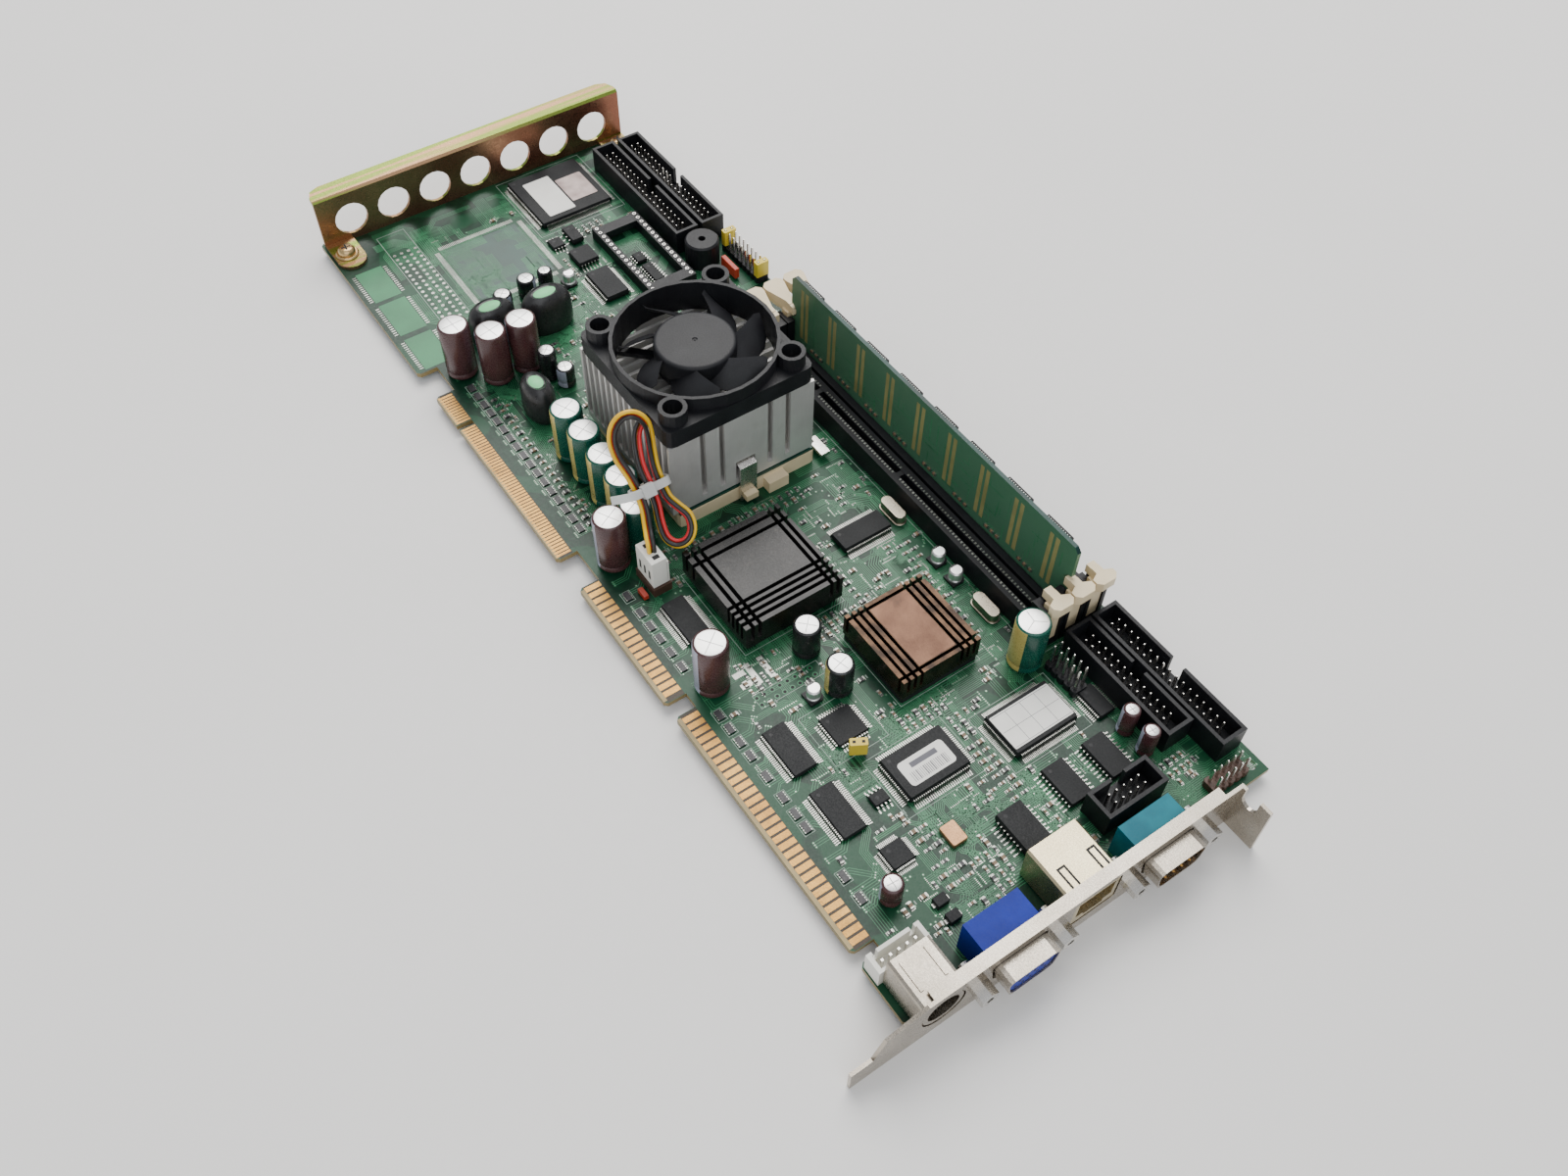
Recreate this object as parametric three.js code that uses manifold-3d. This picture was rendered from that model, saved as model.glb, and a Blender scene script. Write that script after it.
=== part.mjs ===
// A full-size slot single-board computer: a long circuit board with two rows of card-edge
// fingers, an I/O bracket at one end, a card retainer at the other, a socketed processor under
// a fan and heatsink, and three memory sockets.
//
// Millimetres, +Z up. The parts are drawn in the board's own frame: x runs from the retainer
// end to the bracket end, y from the finger edge to the rear edge, and z = 0 is the board's
// component side. One group moves that frame so that the origin is under the middle of it all.
import * as THREE from 'three';
import { mergeVertices } from 'three/addons/utils/BufferGeometryUtils.js';
import Module from 'manifold-3d';

const wasm = await Module();
wasm.setup();

// ---------------------------------------------------------------- driving dimensions
const BOARD_LENGTH = 338.5;
const BOARD_DEPTH = 122;
const BOARD_THICKNESS = 1.6;
const REST_Z = -4; // the surface that the retainer nuts and the bracket edge stand on
const PIN_PITCH = 2.54;

// finger tongues along the front edge, as [first x, last x]
const TONGUES = [[0, 78.5], [91, 171.3], [184, 231.5], [236.6, 317.2], [320.5, BOARD_LENGTH]];
const TONGUE_NOTCH = 6.7;
const TONGUE_CHAMFER = 1;

const RETAINER = { x0: 2, x1: 3.2, y0: 0.8, y1: 121.2, lipX: -4.5, lipZ: 18.3, topZ: 19.5, footZ: 1.2 };
const RETAINER_SCREWS = [[11.2, 5.5], [9.5, 116.3]];

const BRACKET = { x0: 341, x1: 342, tailY: -18.6, y1: 103, tabY: 104, tabX: 351.4, topZ: 14.4 };
const PORT_Z = 6.3; // centre height of both D-sub connectors
const VGA_Y = 30.8;
const COM_Y = 78.9;
const JACKSCREW_REACH = 12.5;
const LAN = { y0: 47.2, y1: 63.2, topZ: 13.2 };
const PS2 = { y: 8, z: 6.5, x0: 327.5 };

const DIMM_Y = [99.5, 107.3, 115.1];
const DIMM_X0 = 134;
const DIMM_X1 = 275.4;
const MODULE = { x0: 138, x1: 271.36, bottomZ: 1.9, topZ: 33.6, thickness: 1.27, notchZ: 19.7 };
const LATCH_PIVOT_Z = 4;
const LATCH_NEAR_X = 272.8;
const LATCH_FAR_X = DIMM_X0 + DIMM_X1 - LATCH_NEAR_X;

const FAN = { x: 156, y: 59.6, half: 25, z0: 35, skirtZ: 41, topZ: 45.5, bore: 23.8, screw: 20 };
const SINK = { x0: 131, x1: 181, y0: 34.6, y1: 84.6, z0: 7, baseZ: 9.5, fins: 15, fin: 1.1 };
const CLIP_Y = 60.2;

const ROW_SHIFT = [-173.45, -51.7, -REST_Z];

// ---------------------------------------------------------------- solids
const AXIS_X = new THREE.Vector3(1, 0, 0);
const AXIS_Y = new THREE.Vector3(0, 1, 0);
const AXIS_Z = new THREE.Vector3(0, 0, 1);

function toSolid(geometry) {
  const bare = geometry.clone();
  bare.deleteAttribute('normal');
  bare.deleteAttribute('uv');
  const merged = mergeVertices(bare, 1e-4);
  return new wasm.Manifold(new wasm.Mesh({
    numProp: 3,
    vertProperties: Float32Array.from(merged.attributes.position.array),
    triVerts: Uint32Array.from(merged.index.array),
  }));
}

function toGeometry(solid) {
  const mesh = solid.getMesh();
  const geometry = new THREE.BufferGeometry();
  geometry.setAttribute('position', new THREE.BufferAttribute(mesh.vertProperties, 3));
  geometry.setIndex(new THREE.BufferAttribute(mesh.triVerts, 1));
  geometry.computeVertexNormals();
  return geometry;
}

const join = (first, ...others) => others.reduce((sum, solid) => sum.add(solid), first);
const cut = (body, ...tools) => tools.reduce((rest, tool) => rest.subtract(tool), body);

function box(x0, x1, y0, y1, z0, z1) {
  const geometry = new THREE.BoxGeometry(x1 - x0, y1 - y0, z1 - z0);
  return toSolid(geometry.translate((x0 + x1) / 2, (y0 + y1) / 2, (z0 + z1) / 2));
}

function extrude(points, from, to) {
  const shape = new THREE.Shape(points.map(([u, v]) => new THREE.Vector2(u, v)));
  const geometry = new THREE.ExtrudeGeometry(shape, { depth: to - from, bevelEnabled: false });
  return geometry.translate(0, 0, from);
}

// outlines are in (x, y), (y, z) and (x, z)
const prismZ = (points, z0, z1) => toSolid(extrude(points, z0, z1));

function prismX(points, x0, x1) {
  const turn = new THREE.Matrix4().makeBasis(AXIS_Y, AXIS_Z, AXIS_X);
  return toSolid(extrude(points, x0, x1).applyMatrix4(turn));
}

function prismY(points, y0, y1) {
  const turn = new THREE.Matrix4().makeBasis(AXIS_X, AXIS_Z, AXIS_Y.clone().negate());
  return toSolid(extrude(points, -y1, -y0).applyMatrix4(turn));
}

function roundBar(radius, length, sides) {
  return new THREE.CylinderGeometry(radius, radius, length, sides);
}

function barZ(x, y, radius, z0, z1, sides = 20) {
  return toSolid(roundBar(radius, z1 - z0, sides).rotateX(Math.PI / 2).translate(x, y, (z0 + z1) / 2));
}

function barX(y, z, radius, x0, x1, sides = 20) {
  return toSolid(roundBar(radius, x1 - x0, sides).rotateZ(Math.PI / 2).translate((x0 + x1) / 2, y, z));
}

function barY(x, z, radius, y0, y1, sides = 20) {
  return toSolid(roundBar(radius, y1 - y0, sides).translate(x, (y0 + y1) / 2, z));
}

// profile points are [radius, z], from axis to axis
function turned(profile, sides = 20, scaleX = 1, scaleY = 1) {
  const points = profile.map(([r, z]) => new THREE.Vector2(r, z));
  const geometry = new THREE.LatheGeometry(points, sides).rotateX(Math.PI / 2);
  return toSolid(geometry.scale(scaleX, scaleY, 1));
}

// each corner of an outline is swapped for a short curve that starts `cutBack` from the corner
function softened(points, cutBack, steps = 3) {
  const out = [];
  points.forEach((corner, i) => {
    const here = new THREE.Vector2(...corner);
    const before = new THREE.Vector2(...points[(i + points.length - 1) % points.length]);
    const after = new THREE.Vector2(...points[(i + 1) % points.length]);
    const start = here.clone().add(before.sub(here).setLength(cutBack));
    const end = here.clone().add(after.sub(here).setLength(cutBack));
    const bend = new THREE.QuadraticBezierCurve(start, here, end);
    bend.getPoints(steps).forEach((p) => out.push([p.x, p.y]));
  });
  return out;
}

const rectangle = (u0, u1, v0, v1) => [[u0, v0], [u1, v0], [u1, v1], [u0, v1]];

// ---------------------------------------------------------------- finishes
const FINISHES = {
  green_board: { color: '#1f6b45', roughness: 0.45, metalness: 0 },
  nickel: { color: '#b9b3a6', roughness: 0.35, metalness: 1 },
  zinc: { color: '#a89a76', roughness: 0.4, metalness: 1 },
  bright_steel: { color: '#c9c7c0', roughness: 0.25, metalness: 1 },
  aluminium: { color: '#a9aaa9', roughness: 0.35, metalness: 1 },
  black_plastic: { color: '#1c1c1e', roughness: 0.5, metalness: 0 },
  black_anodised: { color: '#1d1b1a', roughness: 0.4, metalness: 0.6 },
  bronze_anodised: { color: '#8a6a4f', roughness: 0.4, metalness: 0.7 },
  cream_plastic: { color: '#ded2b4', roughness: 0.5, metalness: 0 },
  white_plastic: { color: '#e8e8e2', roughness: 0.5, metalness: 0 },
  blue_plastic: { color: '#1d3fb0', roughness: 0.45, metalness: 0 },
  teal_plastic: { color: '#2a8a86', roughness: 0.45, metalness: 0 },
  brown_plastic: { color: '#4a2f22', roughness: 0.55, metalness: 0 },
  chip_epoxy: { color: '#26262a', roughness: 0.55, metalness: 0 },
  shrink_sleeve: { color: '#202124', roughness: 0.4, metalness: 0 },
  gold_sleeve: { color: '#1d6a5c', roughness: 0.35, metalness: 0.1 },
  clear_nylon: { color: '#dfe3e2', roughness: 0.35, metalness: 0 },
  wire_vinyl: { color: '#c43b35', roughness: 0.45, metalness: 0 },
};

const board = new THREE.Group();
board.position.set(...ROW_SHIFT);

function addPart(name, solid, finish, position = [0, 0, 0]) {
  const mesh = new THREE.Mesh(toGeometry(solid), new THREE.MeshStandardMaterial(FINISHES[finish]));
  mesh.name = name;
  mesh.position.set(...position);
  board.add(mesh);
  return mesh;
}

// ---------------------------------------------------------------- circuit board
function circuitBoard() {
  const key = { x0: 106.1, x1: 108, y: 5.3 };
  const hole = 1.8;
  const outline = [];
  TONGUES.forEach(([x0, x1], i) => {
    const last = i === TONGUES.length - 1;
    if (i > 0) outline.push([x0, TONGUE_NOTCH]);
    outline.push([x0, TONGUE_CHAMFER], [x0 + TONGUE_CHAMFER, 0]);
    outline.push([x1 - TONGUE_CHAMFER, 0], [x1, TONGUE_CHAMFER]);
    if (!last) outline.push([x1, TONGUE_NOTCH]);
  });
  outline.push([BOARD_LENGTH, BOARD_DEPTH], [0, BOARD_DEPTH]);
  const sheet = prismZ(outline, -BOARD_THICKNESS, 0);
  const holes = [...RETAINER_SCREWS, [334.6, 118.7]];
  const drills = holes.map(([x, y]) => barZ(x, y, hole, -BOARD_THICKNESS - 1, 1, 16));
  return cut(sheet, box(key.x0, key.x1, -1, key.y, -BOARD_THICKNESS - 1, 1), ...drills);
}

// ---------------------------------------------------------------- card retainer and its screws
function cardRetainer() {
  const { x0, x1, y0, y1, lipX, lipZ, topZ, footZ } = RETAINER;
  const bend = 0.8;
  const profile = [
    [x0, 0], [x1, 0], [x1, topZ - bend], [x1 - bend, topZ], [lipX, topZ], [lipX, lipZ],
    [x0 - bend, lipZ], [x0, lipZ - bend],
  ];
  const lipRadius = 5;
  const plan = [
    [lipX + lipRadius, y0], [x1 + 1, y0], [x1 + 1, y1], [lipX + lipRadius, y1],
    [lipX + 1.5, y1 - 1.5], [lipX, y1 - lipRadius], [lipX, y0 + lipRadius], [lipX + 1.5, y0 + 1.5],
  ];
  const sheet = prismY(profile, y0, y1).intersect(prismZ(plan, -1, topZ + 1));
  const footRadius = 5.1;
  const foot = (endX, y) => join(
    box(x0, endX, y - footRadius, y + footRadius, 0, footZ),
    barZ(endX, y, footRadius, 0, footZ, 20),
  );
  const windowPitch = 16.1;
  const windows = [];
  for (let i = 0; i < 7; i += 1) {
    windows.push(barX(12.5 + i * windowPitch, 8.3, 6, x0 - 1, x1 + 1, 18));
  }
  const drills = RETAINER_SCREWS.map(([x, y]) => barZ(x, y, 1.7, -1, footZ + 1, 12));
  const bent = join(sheet, foot(13.9, y0 + footRadius), foot(9.9, y1 - footRadius));
  return cut(bent, ...windows, ...drills);
}

// screw, washer and nut are clamped up as one piece; z = 0 is the board's top
function retainerScrew() {
  const washerZ = RETAINER.footZ;
  const shaft = barZ(0, 0, 1.4, REST_Z, washerZ + 0.5, 12);
  const washer = barZ(0, 0, 4, washerZ, washerZ + 0.8, 20);
  const head = turned([[0, 1.5], [3, 1.5], [3, 3], [2.4, 3.9], [1.2, 4.2], [0, 4.2]], 16);
  const nut = toSolid(roundBar(3.17, 2.4, 6).rotateX(Math.PI / 2).translate(0, 0, REST_Z + 1.2));
  return join(shaft, washer, head, nut);
}

// ---------------------------------------------------------------- D-sub outlines
const SHELL_HALF = { wide: 8.45, tall: 4.15 };

// wide side up; `grow` is added all round
function dOutline(y, z, grow) {
  const w = SHELL_HALF.wide + grow;
  const h = SHELL_HALF.tall + grow;
  const taper = 1.5;
  return softened([[y - w + taper, z - h], [y + w - taper, z - h], [y + w, z + h], [y - w, z + h]], 2.2);
}

function dShell(y, wallX0, tubeX1) {
  const flange = prismX(softened(rectangle(y - 15.4, y + 15.4, 0.2, 12.6), 1.2, 2), wallX0, BRACKET.x0);
  const tube = prismX(dOutline(y, PORT_Z, 0), BRACKET.x0 - 1, tubeX1);
  const hollow = prismX(dOutline(y, PORT_Z, -0.5), wallX0 - 1, tubeX1 + 1);
  const drills = [-1, 1].map((side) => barX(y + side * JACKSCREW_REACH, PORT_Z, 1.8, wallX0 - 1, 342, 16));
  return cut(join(flange, tube), hollow, ...drills);
}

function dBody(y, blockX0, insertX1) {
  const half = 8.5;
  const block = box(blockX0, 339.4, y - half, y + half, 0, 12.5);
  return join(block, prismX(dOutline(y, PORT_Z, -0.8), 339, insertX1));
}

function jackscrew() {
  const hex = toSolid(roundBar(2.77, 4.5, 6).rotateZ(Math.PI / 2).translate(2.25, 0, 0));
  return cut(join(hex, barX(0, 0, 1.5, -6, 0.5, 12)), barX(0, 0, 1.1, 1.5, 5, 10));
}

// ---------------------------------------------------------------- I/O bracket
function ioBracket() {
  const { x0, x1, tailY, y1, tabY, tabX, topZ } = BRACKET;
  const face = [
    [tailY, REST_Z], [tabY, REST_Z], [tabY, topZ], [3, topZ], [-9, 11.6], [-12.4, 4.4], [tailY, 4.4],
  ];
  const plate = prismX(face, x0, x1);
  const tab = box(x1 - 0.5, tabX, y1, tabY, REST_Z, topZ);
  const rim = box(x0 - 2.6, x0 + 0.5, 5, 98, 13.6, topZ);
  const notch = { x: 345.4, z: 11, r: 2.4 };
  const openings = [
    prismX(dOutline(VGA_Y, PORT_Z, 0.5), x0 - 0.5, x1 + 1),
    prismX(dOutline(COM_Y, PORT_Z, 0.5), x0 - 0.5, x1 + 1),
    prismX(softened(rectangle(LAN.y0 + 0.4, LAN.y1 - 0.4, 0.8, 12.8), 1, 2), x0 - 0.5, x1 + 1),
    barX(PS2.y, PS2.z, 6.5, x0 - 0.5, x1 + 1, 28),
    barY(notch.x, notch.z, notch.r, y1 - 1, tabY + 1, 16),
    box(notch.x - notch.r, notch.x + notch.r, y1 - 1, tabY + 1, notch.z, topZ + 1),
  ];
  [VGA_Y, COM_Y].forEach((y) => [-1, 1].forEach((side) => {
    openings.push(barX(y + side * JACKSCREW_REACH, PORT_Z, 1.7, x0 - 0.5, x1 + 1, 12));
  }));
  return cut(join(plate, tab, rim), ...openings);
}

// ---------------------------------------------------------------- ports on the bracket
function ps2Port() {
  const { y, z, x0 } = PS2;
  const shellX1 = BRACKET.x0 - 0.1;
  const shell = prismX(softened(rectangle(y - 6.4, y + 6.4, 0, 13), 1, 2), x0, shellX1);
  const collar = barX(y, z, 6.1, shellX1 - 1, 341.8, 28);
  const ribs = [-1, 1].map((side) => {
    const ribY = y + side * 3.6;
    return box(x0 + 1.6, shellX1 - 3.4, ribY - 0.45, ribY + 0.45, 12.5, 13.35);
  });
  const mouth = barX(y, z, 4.7, shellX1 - 7, 343, 24);
  return cut(join(shell, collar, ...ribs), mouth);
}

// the long axis is y; the lower wall, at -x, has a gap near each end
function keyboardHeader() {
  const shell = box(-2.8, 2.8, -7.9, 7.9, 0, 7.3);
  const trough = box(-1.8, 1.9, -6.7, 6.7, 2, 8);
  const gaps = [-1, 1].map((side) => {
    const y = side * 5.6;
    return box(-4, -1, y - 0.7, y + 0.7, 3.6, 8);
  });
  return cut(shell, trough, ...gaps);
}

function lanJack() {
  const { y0, y1, topZ } = LAN;
  const bodyX1 = BRACKET.x0 - 0.3;
  const body = prismX(softened(rectangle(y0, y1, 0, topZ), 0.6, 1), 324.2, bodyX1);
  const collar = box(bodyX1 - 1, 341.8, y0 + 0.8, y1 - 0.8, 1.2, 12.4);
  const mid = (y0 + y1) / 2;
  const mouth = join(
    box(328.6, 343, mid - 5.85, mid + 5.85, 4, 10.9),
    box(328.6, 343, mid - 3.2, mid + 3.2, 2.7, 4.5),
  );
  return cut(join(body, collar), mouth);
}

// ---------------------------------------------------------------- pin headers
// shrouded header: long axis x, z = 0 on the board, one key gap in the +y wall
const BOX_HEADER = { depth: 8.9, height: 9, wall: 1.1, floor: 2.4, ends: 10.2, key: 4.6 };

const boxHeaderLength = (pinsPerRow) => PIN_PITCH * (pinsPerRow - 1) + BOX_HEADER.ends;

function boxHeader(pinsPerRow) {
  const { depth, height, wall, floor, key } = BOX_HEADER;
  const halfX = boxHeaderLength(pinsPerRow) / 2;
  const halfY = depth / 2;
  return cut(
    box(-halfX, halfX, -halfY, halfY, 0, height),
    box(-halfX + wall, halfX - wall, -halfY + wall, halfY - wall, floor, height + 1),
    box(-key / 2, key / 2, halfY - wall - 0.5, halfY + 1, floor, height + 1),
  );
}

// bare double-row header: long axis x, with every pin standing in its base
function pinHeader(pinsPerRow, pinTop) {
  const pin = 0.32;
  const halfX = (PIN_PITCH * pinsPerRow) / 2;
  const parts = [];
  for (let i = 0; i < pinsPerRow; i += 1) {
    const x = -halfX + PIN_PITCH * (i + 0.5);
    [-PIN_PITCH / 2, PIN_PITCH / 2].forEach((y) => {
      parts.push(box(x - pin, x + pin, y - pin, y + pin, 1, pinTop));
    });
  }
  return join(box(-halfX, halfX, -PIN_PITCH, PIN_PITCH, 0, 2.5), ...parts);
}

// ---------------------------------------------------------------- small upright parts
function buzzer() {
  const r = 6;
  const h = 9.5;
  return turned([[0, 0], [r, 0], [r, h - 0.6], [r - 0.6, h], [1.3, h], [1.3, h - 3], [0, h - 3]], 24);
}

function capacitorCan(r, h) {
  const crimp = 0.35;
  return turned([
    [0, 0], [r - 0.4, 0], [r, 0.5], [r, 1.6], [r - crimp, 2.3], [r, 3], [r, h - 1], [r - 0.6, h],
    [r - 1.2, h - 0.4], [0, h - 0.4],
  ], 24);
}

// a ring core stood on edge in a shrunk sleeve: an oval column with a dished top
function chokeColumn(halfX, halfY, height) {
  const profile = [[0, 0], [0.85, 0], [1, 0.12], [1, 0.72], [0.86, 0.93], [0.62, 1], [0.56, 0.9], [0, 0.97]];
  return turned(profile.map(([r, z]) => [r, z * height]), 20, halfX, halfY);
}

function flashSocket() {
  const x0 = 50;
  const x1 = 90.8;
  const height = 4.2;
  const rail = 1.27;
  const rows = [83.1, 98.5];
  const barHalf = 2.2;
  const rails = rows.map((y) => box(x0, x1, y - rail, y + rail, 0, height));
  const bars = [x0 + barHalf + 0.6, x1 - barHalf].map((x) => {
    return box(x - barHalf, x + barHalf, ...rows, 1.6, height);
  });
  return join(...rails, ...bars);
}

// ---------------------------------------------------------------- memory sockets, latches, module
const TOWER = { length: 6.4, half: 3.65, height: 16.8 };
const LATCH_SLOT = 2.35;

// y = 0 is the middle of the slot
function dimmSocket() {
  const halfY = 3.4;
  const bodyZ = 8.3;
  const body = box(DIMM_X0, DIMM_X1, -halfY, halfY, 0, bodyZ);
  const towers = [DIMM_X0, DIMM_X1 - TOWER.length].map((x) => {
    return box(x, x + TOWER.length, -TOWER.half, TOWER.half, 0, TOWER.height);
  });
  const slotX0 = MODULE.x0 - 0.4;
  const slotX1 = MODULE.x1 + 0.4;
  const cuts = [
    box(slotX0, slotX1, -1, 1, MODULE.bottomZ, TOWER.height + 1),
    box(DIMM_X0 - 1, slotX0 + 0.5, -LATCH_SLOT, LATCH_SLOT, 1, TOWER.height + 1),
    box(slotX1 - 0.5, DIMM_X1 + 1, -LATCH_SLOT, LATCH_SLOT, 1, TOWER.height + 1),
  ];
  [LATCH_NEAR_X, LATCH_FAR_X].forEach((x) => {
    cuts.push(barY(x, LATCH_PIVOT_Z, 1.1, -TOWER.half + 0.5, TOWER.half - 0.5, 10));
  });
  return cut(join(body, ...towers), ...cuts);
}

// the pivot is at the origin and +x points outward; `reach` is how far the finger tab goes
function dimmLatch(reach) {
  const webY = 2.05;
  const zTop = 17.5;
  const zUnder = 13.2;
  const web = prismY([[-0.3, -2.2], [0.6, -2.4], [2.1, -1.2], [2.1, zUnder + 1], [-0.9, zUnder + 1], [-0.9, -1.2]],
    -webY, webY);
  const head = [
    [-1, -1.3], [1.1, -1.3], [reach - 3, -3.6], [reach - 1.4, -3.6], [reach, -2.2],
    [reach, 2.2], [reach - 1.4, 3.6], [reach - 3, 3.6], [1.1, 1.3], [-1, 1.3],
  ];
  const beam = prismZ(head, zUnder, zTop);
  const slope = prismY([[2.4, zUnder - 0.5], [reach + 1, zUnder - 0.5], [reach + 1, zTop - 2.6]], -5, 5);
  const prong = box(-3, 0, -1.3, 1.3, zTop - 3.2, zTop - 0.2);
  const pivot = barY(0, 0, 0.9, -3, 3, 10);
  return join(cut(beam, slope), web, prong, pivot);
}

// y = 0 is the middle of its thickness
function memoryModule() {
  const { x0, x1, bottomZ, topZ, thickness, notchZ } = MODULE;
  const half = thickness / 2;
  const corner = 1.5;
  const outline = [
    [x0, bottomZ], [x1, bottomZ], [x1, topZ - corner], [x1 - corner, topZ], [x0 + corner, topZ],
    [x0, topZ - corner],
  ];
  const keys = [x0 + 25.9, x0 + 67.9].map((x) => box(x - 1, x + 1, -2, 2, bottomZ - 1, bottomZ + 3));
  const notches = [x0, x1].map((x) => barY(x, notchZ, 2.6, -2, 2, 16));
  return cut(prismY(outline, -half, half), ...keys, ...notches);
}

// ---------------------------------------------------------------- processor stack
const LUG = { y: CLIP_Y, half: 2.1, reach: 3.6, z0: 1.6, z1: 3.8 };

function cpuSocket() {
  const block = prismZ(softened(rectangle(131, 181.2, 36.6, 85.5), 1.5, 2), 0, 4.9);
  const lugs = [[127.4, 132], [180, 181.2 + LUG.reach]].map(([x0, x1]) => {
    return box(x0, x1, LUG.y - LUG.half, LUG.y + LUG.half, LUG.z0, LUG.z1);
  });
  const sideLug = box(180, 184.6, 66.4, 73.5, 0, 4.2);
  return join(block, ...lugs, sideLug);
}

// lies along +x beside the socket, with its cranked end at the pivot and a flat finger at the other
function socketLever() {
  const r = 1;
  const rodX1 = 43;
  const tipX1 = 49;
  const y = 1.6;
  return join(
    barX(y, 0, r, 0, rodX1, 12),
    barY(0, 0, r, -0.2, y, 12),
    toSolid(new THREE.SphereGeometry(r, 12, 8).translate(0, y, 0)),
    box(rodX1 - 2, tipX1, y - 0.6, y + 2.6, -0.6, 0.6),
  );
}

function cpuPackage() {
  return join(box(131.4, 180.8, 37, 85, 5, 6.1), box(149, 161, 54, 66, 6, SINK.z0));
}

function cpuHeatsink() {
  const { x0, x1, y0, y1, z0, baseZ, fins, fin } = SINK;
  const pitch = (x1 - x0 - fin) / (fins - 1);
  const cuts = [];
  for (let i = 0; i < fins - 1; i += 1) {
    cuts.push(box(x0 + i * pitch + fin, x0 + (i + 1) * pitch, y0 - 1, y1 + 1, baseZ, FAN.z0 + 1));
  }
  const outer = [[x0 - 1, x0 + fin + 0.5], [x1 - fin - 0.5, x1 + 1]];
  const tall = [45.7, 52.2, 69, 75.3].flatMap((y) => outer.map(([from, to]) => {
    return box(from, to, y - 0.9, y + 0.9, baseZ, FAN.z0 + 1);
  }));
  const channel = box(x0 - 1, x1 + 1, CLIP_Y - 3.4, CLIP_Y + 3.4, baseZ, 16.4);
  return cut(box(x0, x1, y0, y1, z0, FAN.z0), ...cuts, ...tall, channel);
}

// spring strap bowed down through the heatsink's channel, with a hooked leg at each end
function heatsinkClip() {
  const t = 0.8;
  const half = 2.9;
  const mid = (SINK.x0 + SINK.x1) / 2;
  const legX = 25.9;
  const upper = [[-legX - t, 0.4], [-legX - t, 14.6], [-legX + 1.5, 15.4], [0, 10.9], [legX - 1.5, 15.4],
    [legX + t, 14.6], [legX + t, 0.4]];
  const lower = [[legX, 0.4], [legX, 13.9], [legX - 1.7, 14.5], [0, 9.9], [-legX + 1.7, 14.5], [-legX, 13.9],
    [-legX, 0.4]];
  const strap = prismY([...upper, ...lower].map(([x, z]) => [x + mid, z]), CLIP_Y - half, CLIP_Y + half);
  const windows = [-1, 1].map((side) => {
    const x = mid + side * (legX + t / 2);
    return box(x - 1.5, x + 1.5, CLIP_Y - LUG.half - 0.3, CLIP_Y + LUG.half + 0.3, LUG.z0 - 0.3, LUG.z1 + 0.3);
  });
  return cut(strap, ...windows);
}

// ---------------------------------------------------------------- fan
const FAN_CORNERS = [[-1, -1], [1, -1], [1, 1], [-1, 1]];
const SCREW_SEAT_Z = 38;

// drawn about the rotor's axis, at the true heights
function fanFrame() {
  const { half, z0, skirtZ, topZ, bore, screw } = FAN;
  const skirt = prismZ(softened(rectangle(-half, half, -half, half), 3, 3), z0, skirtZ);
  const ring = barZ(0, 0, half - 0.1, skirtZ - 1, topZ, 32);
  const ears = FAN_CORNERS.map(([sx, sy]) => barZ(sx * screw, sy * screw, 4.2, z0, topZ, 16));
  const solid = cut(join(skirt, ring, ...ears), barZ(0, 0, bore, z0 - 1, topZ + 1, 32));
  const motor = barZ(0, 0, 11.5, z0 + 0.2, z0 + 1.9, 24);
  const struts = [0, 1, 2, 3].map((i) => {
    const geometry = new THREE.BoxGeometry(bore - 8, 2.4, 1.6).translate((bore + 10) / 2, 0, z0 + 1.1);
    return toSolid(geometry.rotateZ(Math.PI / 4 + (i * Math.PI) / 2));
  });
  const holes = FAN_CORNERS.flatMap(([sx, sy]) => [
    barZ(sx * screw, sy * screw, 2.9, SCREW_SEAT_Z, topZ + 1, 16),
    barZ(sx * screw, sy * screw, 1.6, z0 - 1, SCREW_SEAT_Z + 1, 12),
  ]);
  return cut(join(solid, motor, ...struts), ...holes);
}

function fanRotor() {
  const hub = { r: 12.2, z0: 37.5, z1: 44.8 };
  const blades = [];
  const count = 7;
  const section = [[-6, 38], [-4.6, 37.7], [6, 43.2], [6, 44.4], [4.8, 44.4]];
  for (let i = 0; i < count; i += 1) {
    const geometry = extrude(section, 10, 22.3);
    geometry.applyMatrix4(new THREE.Matrix4().makeBasis(AXIS_Y, AXIS_Z, AXIS_X));
    blades.push(toSolid(geometry.rotateZ((i * 2 * Math.PI) / count)));
  }
  const { r, z0, z1 } = hub;
  return join(turned([[0, z0], [r, z0], [r, z1 - 0.8], [r - 0.8, z1], [0, z1]], 32), ...blades);
}

function fanScrew() {
  const z = SCREW_SEAT_Z;
  return turned([[0, FAN.z0 + 0.2], [1.2, FAN.z0 + 0.2], [1.2, z], [2.5, z], [2.5, z + 1.2], [1.6, z + 2], [0, z + 2]], 16);
}

// ---------------------------------------------------------------- fan lead
const LEAD_RADIUS = 1.6;
const LEAD_STEPS = 56;

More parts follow.
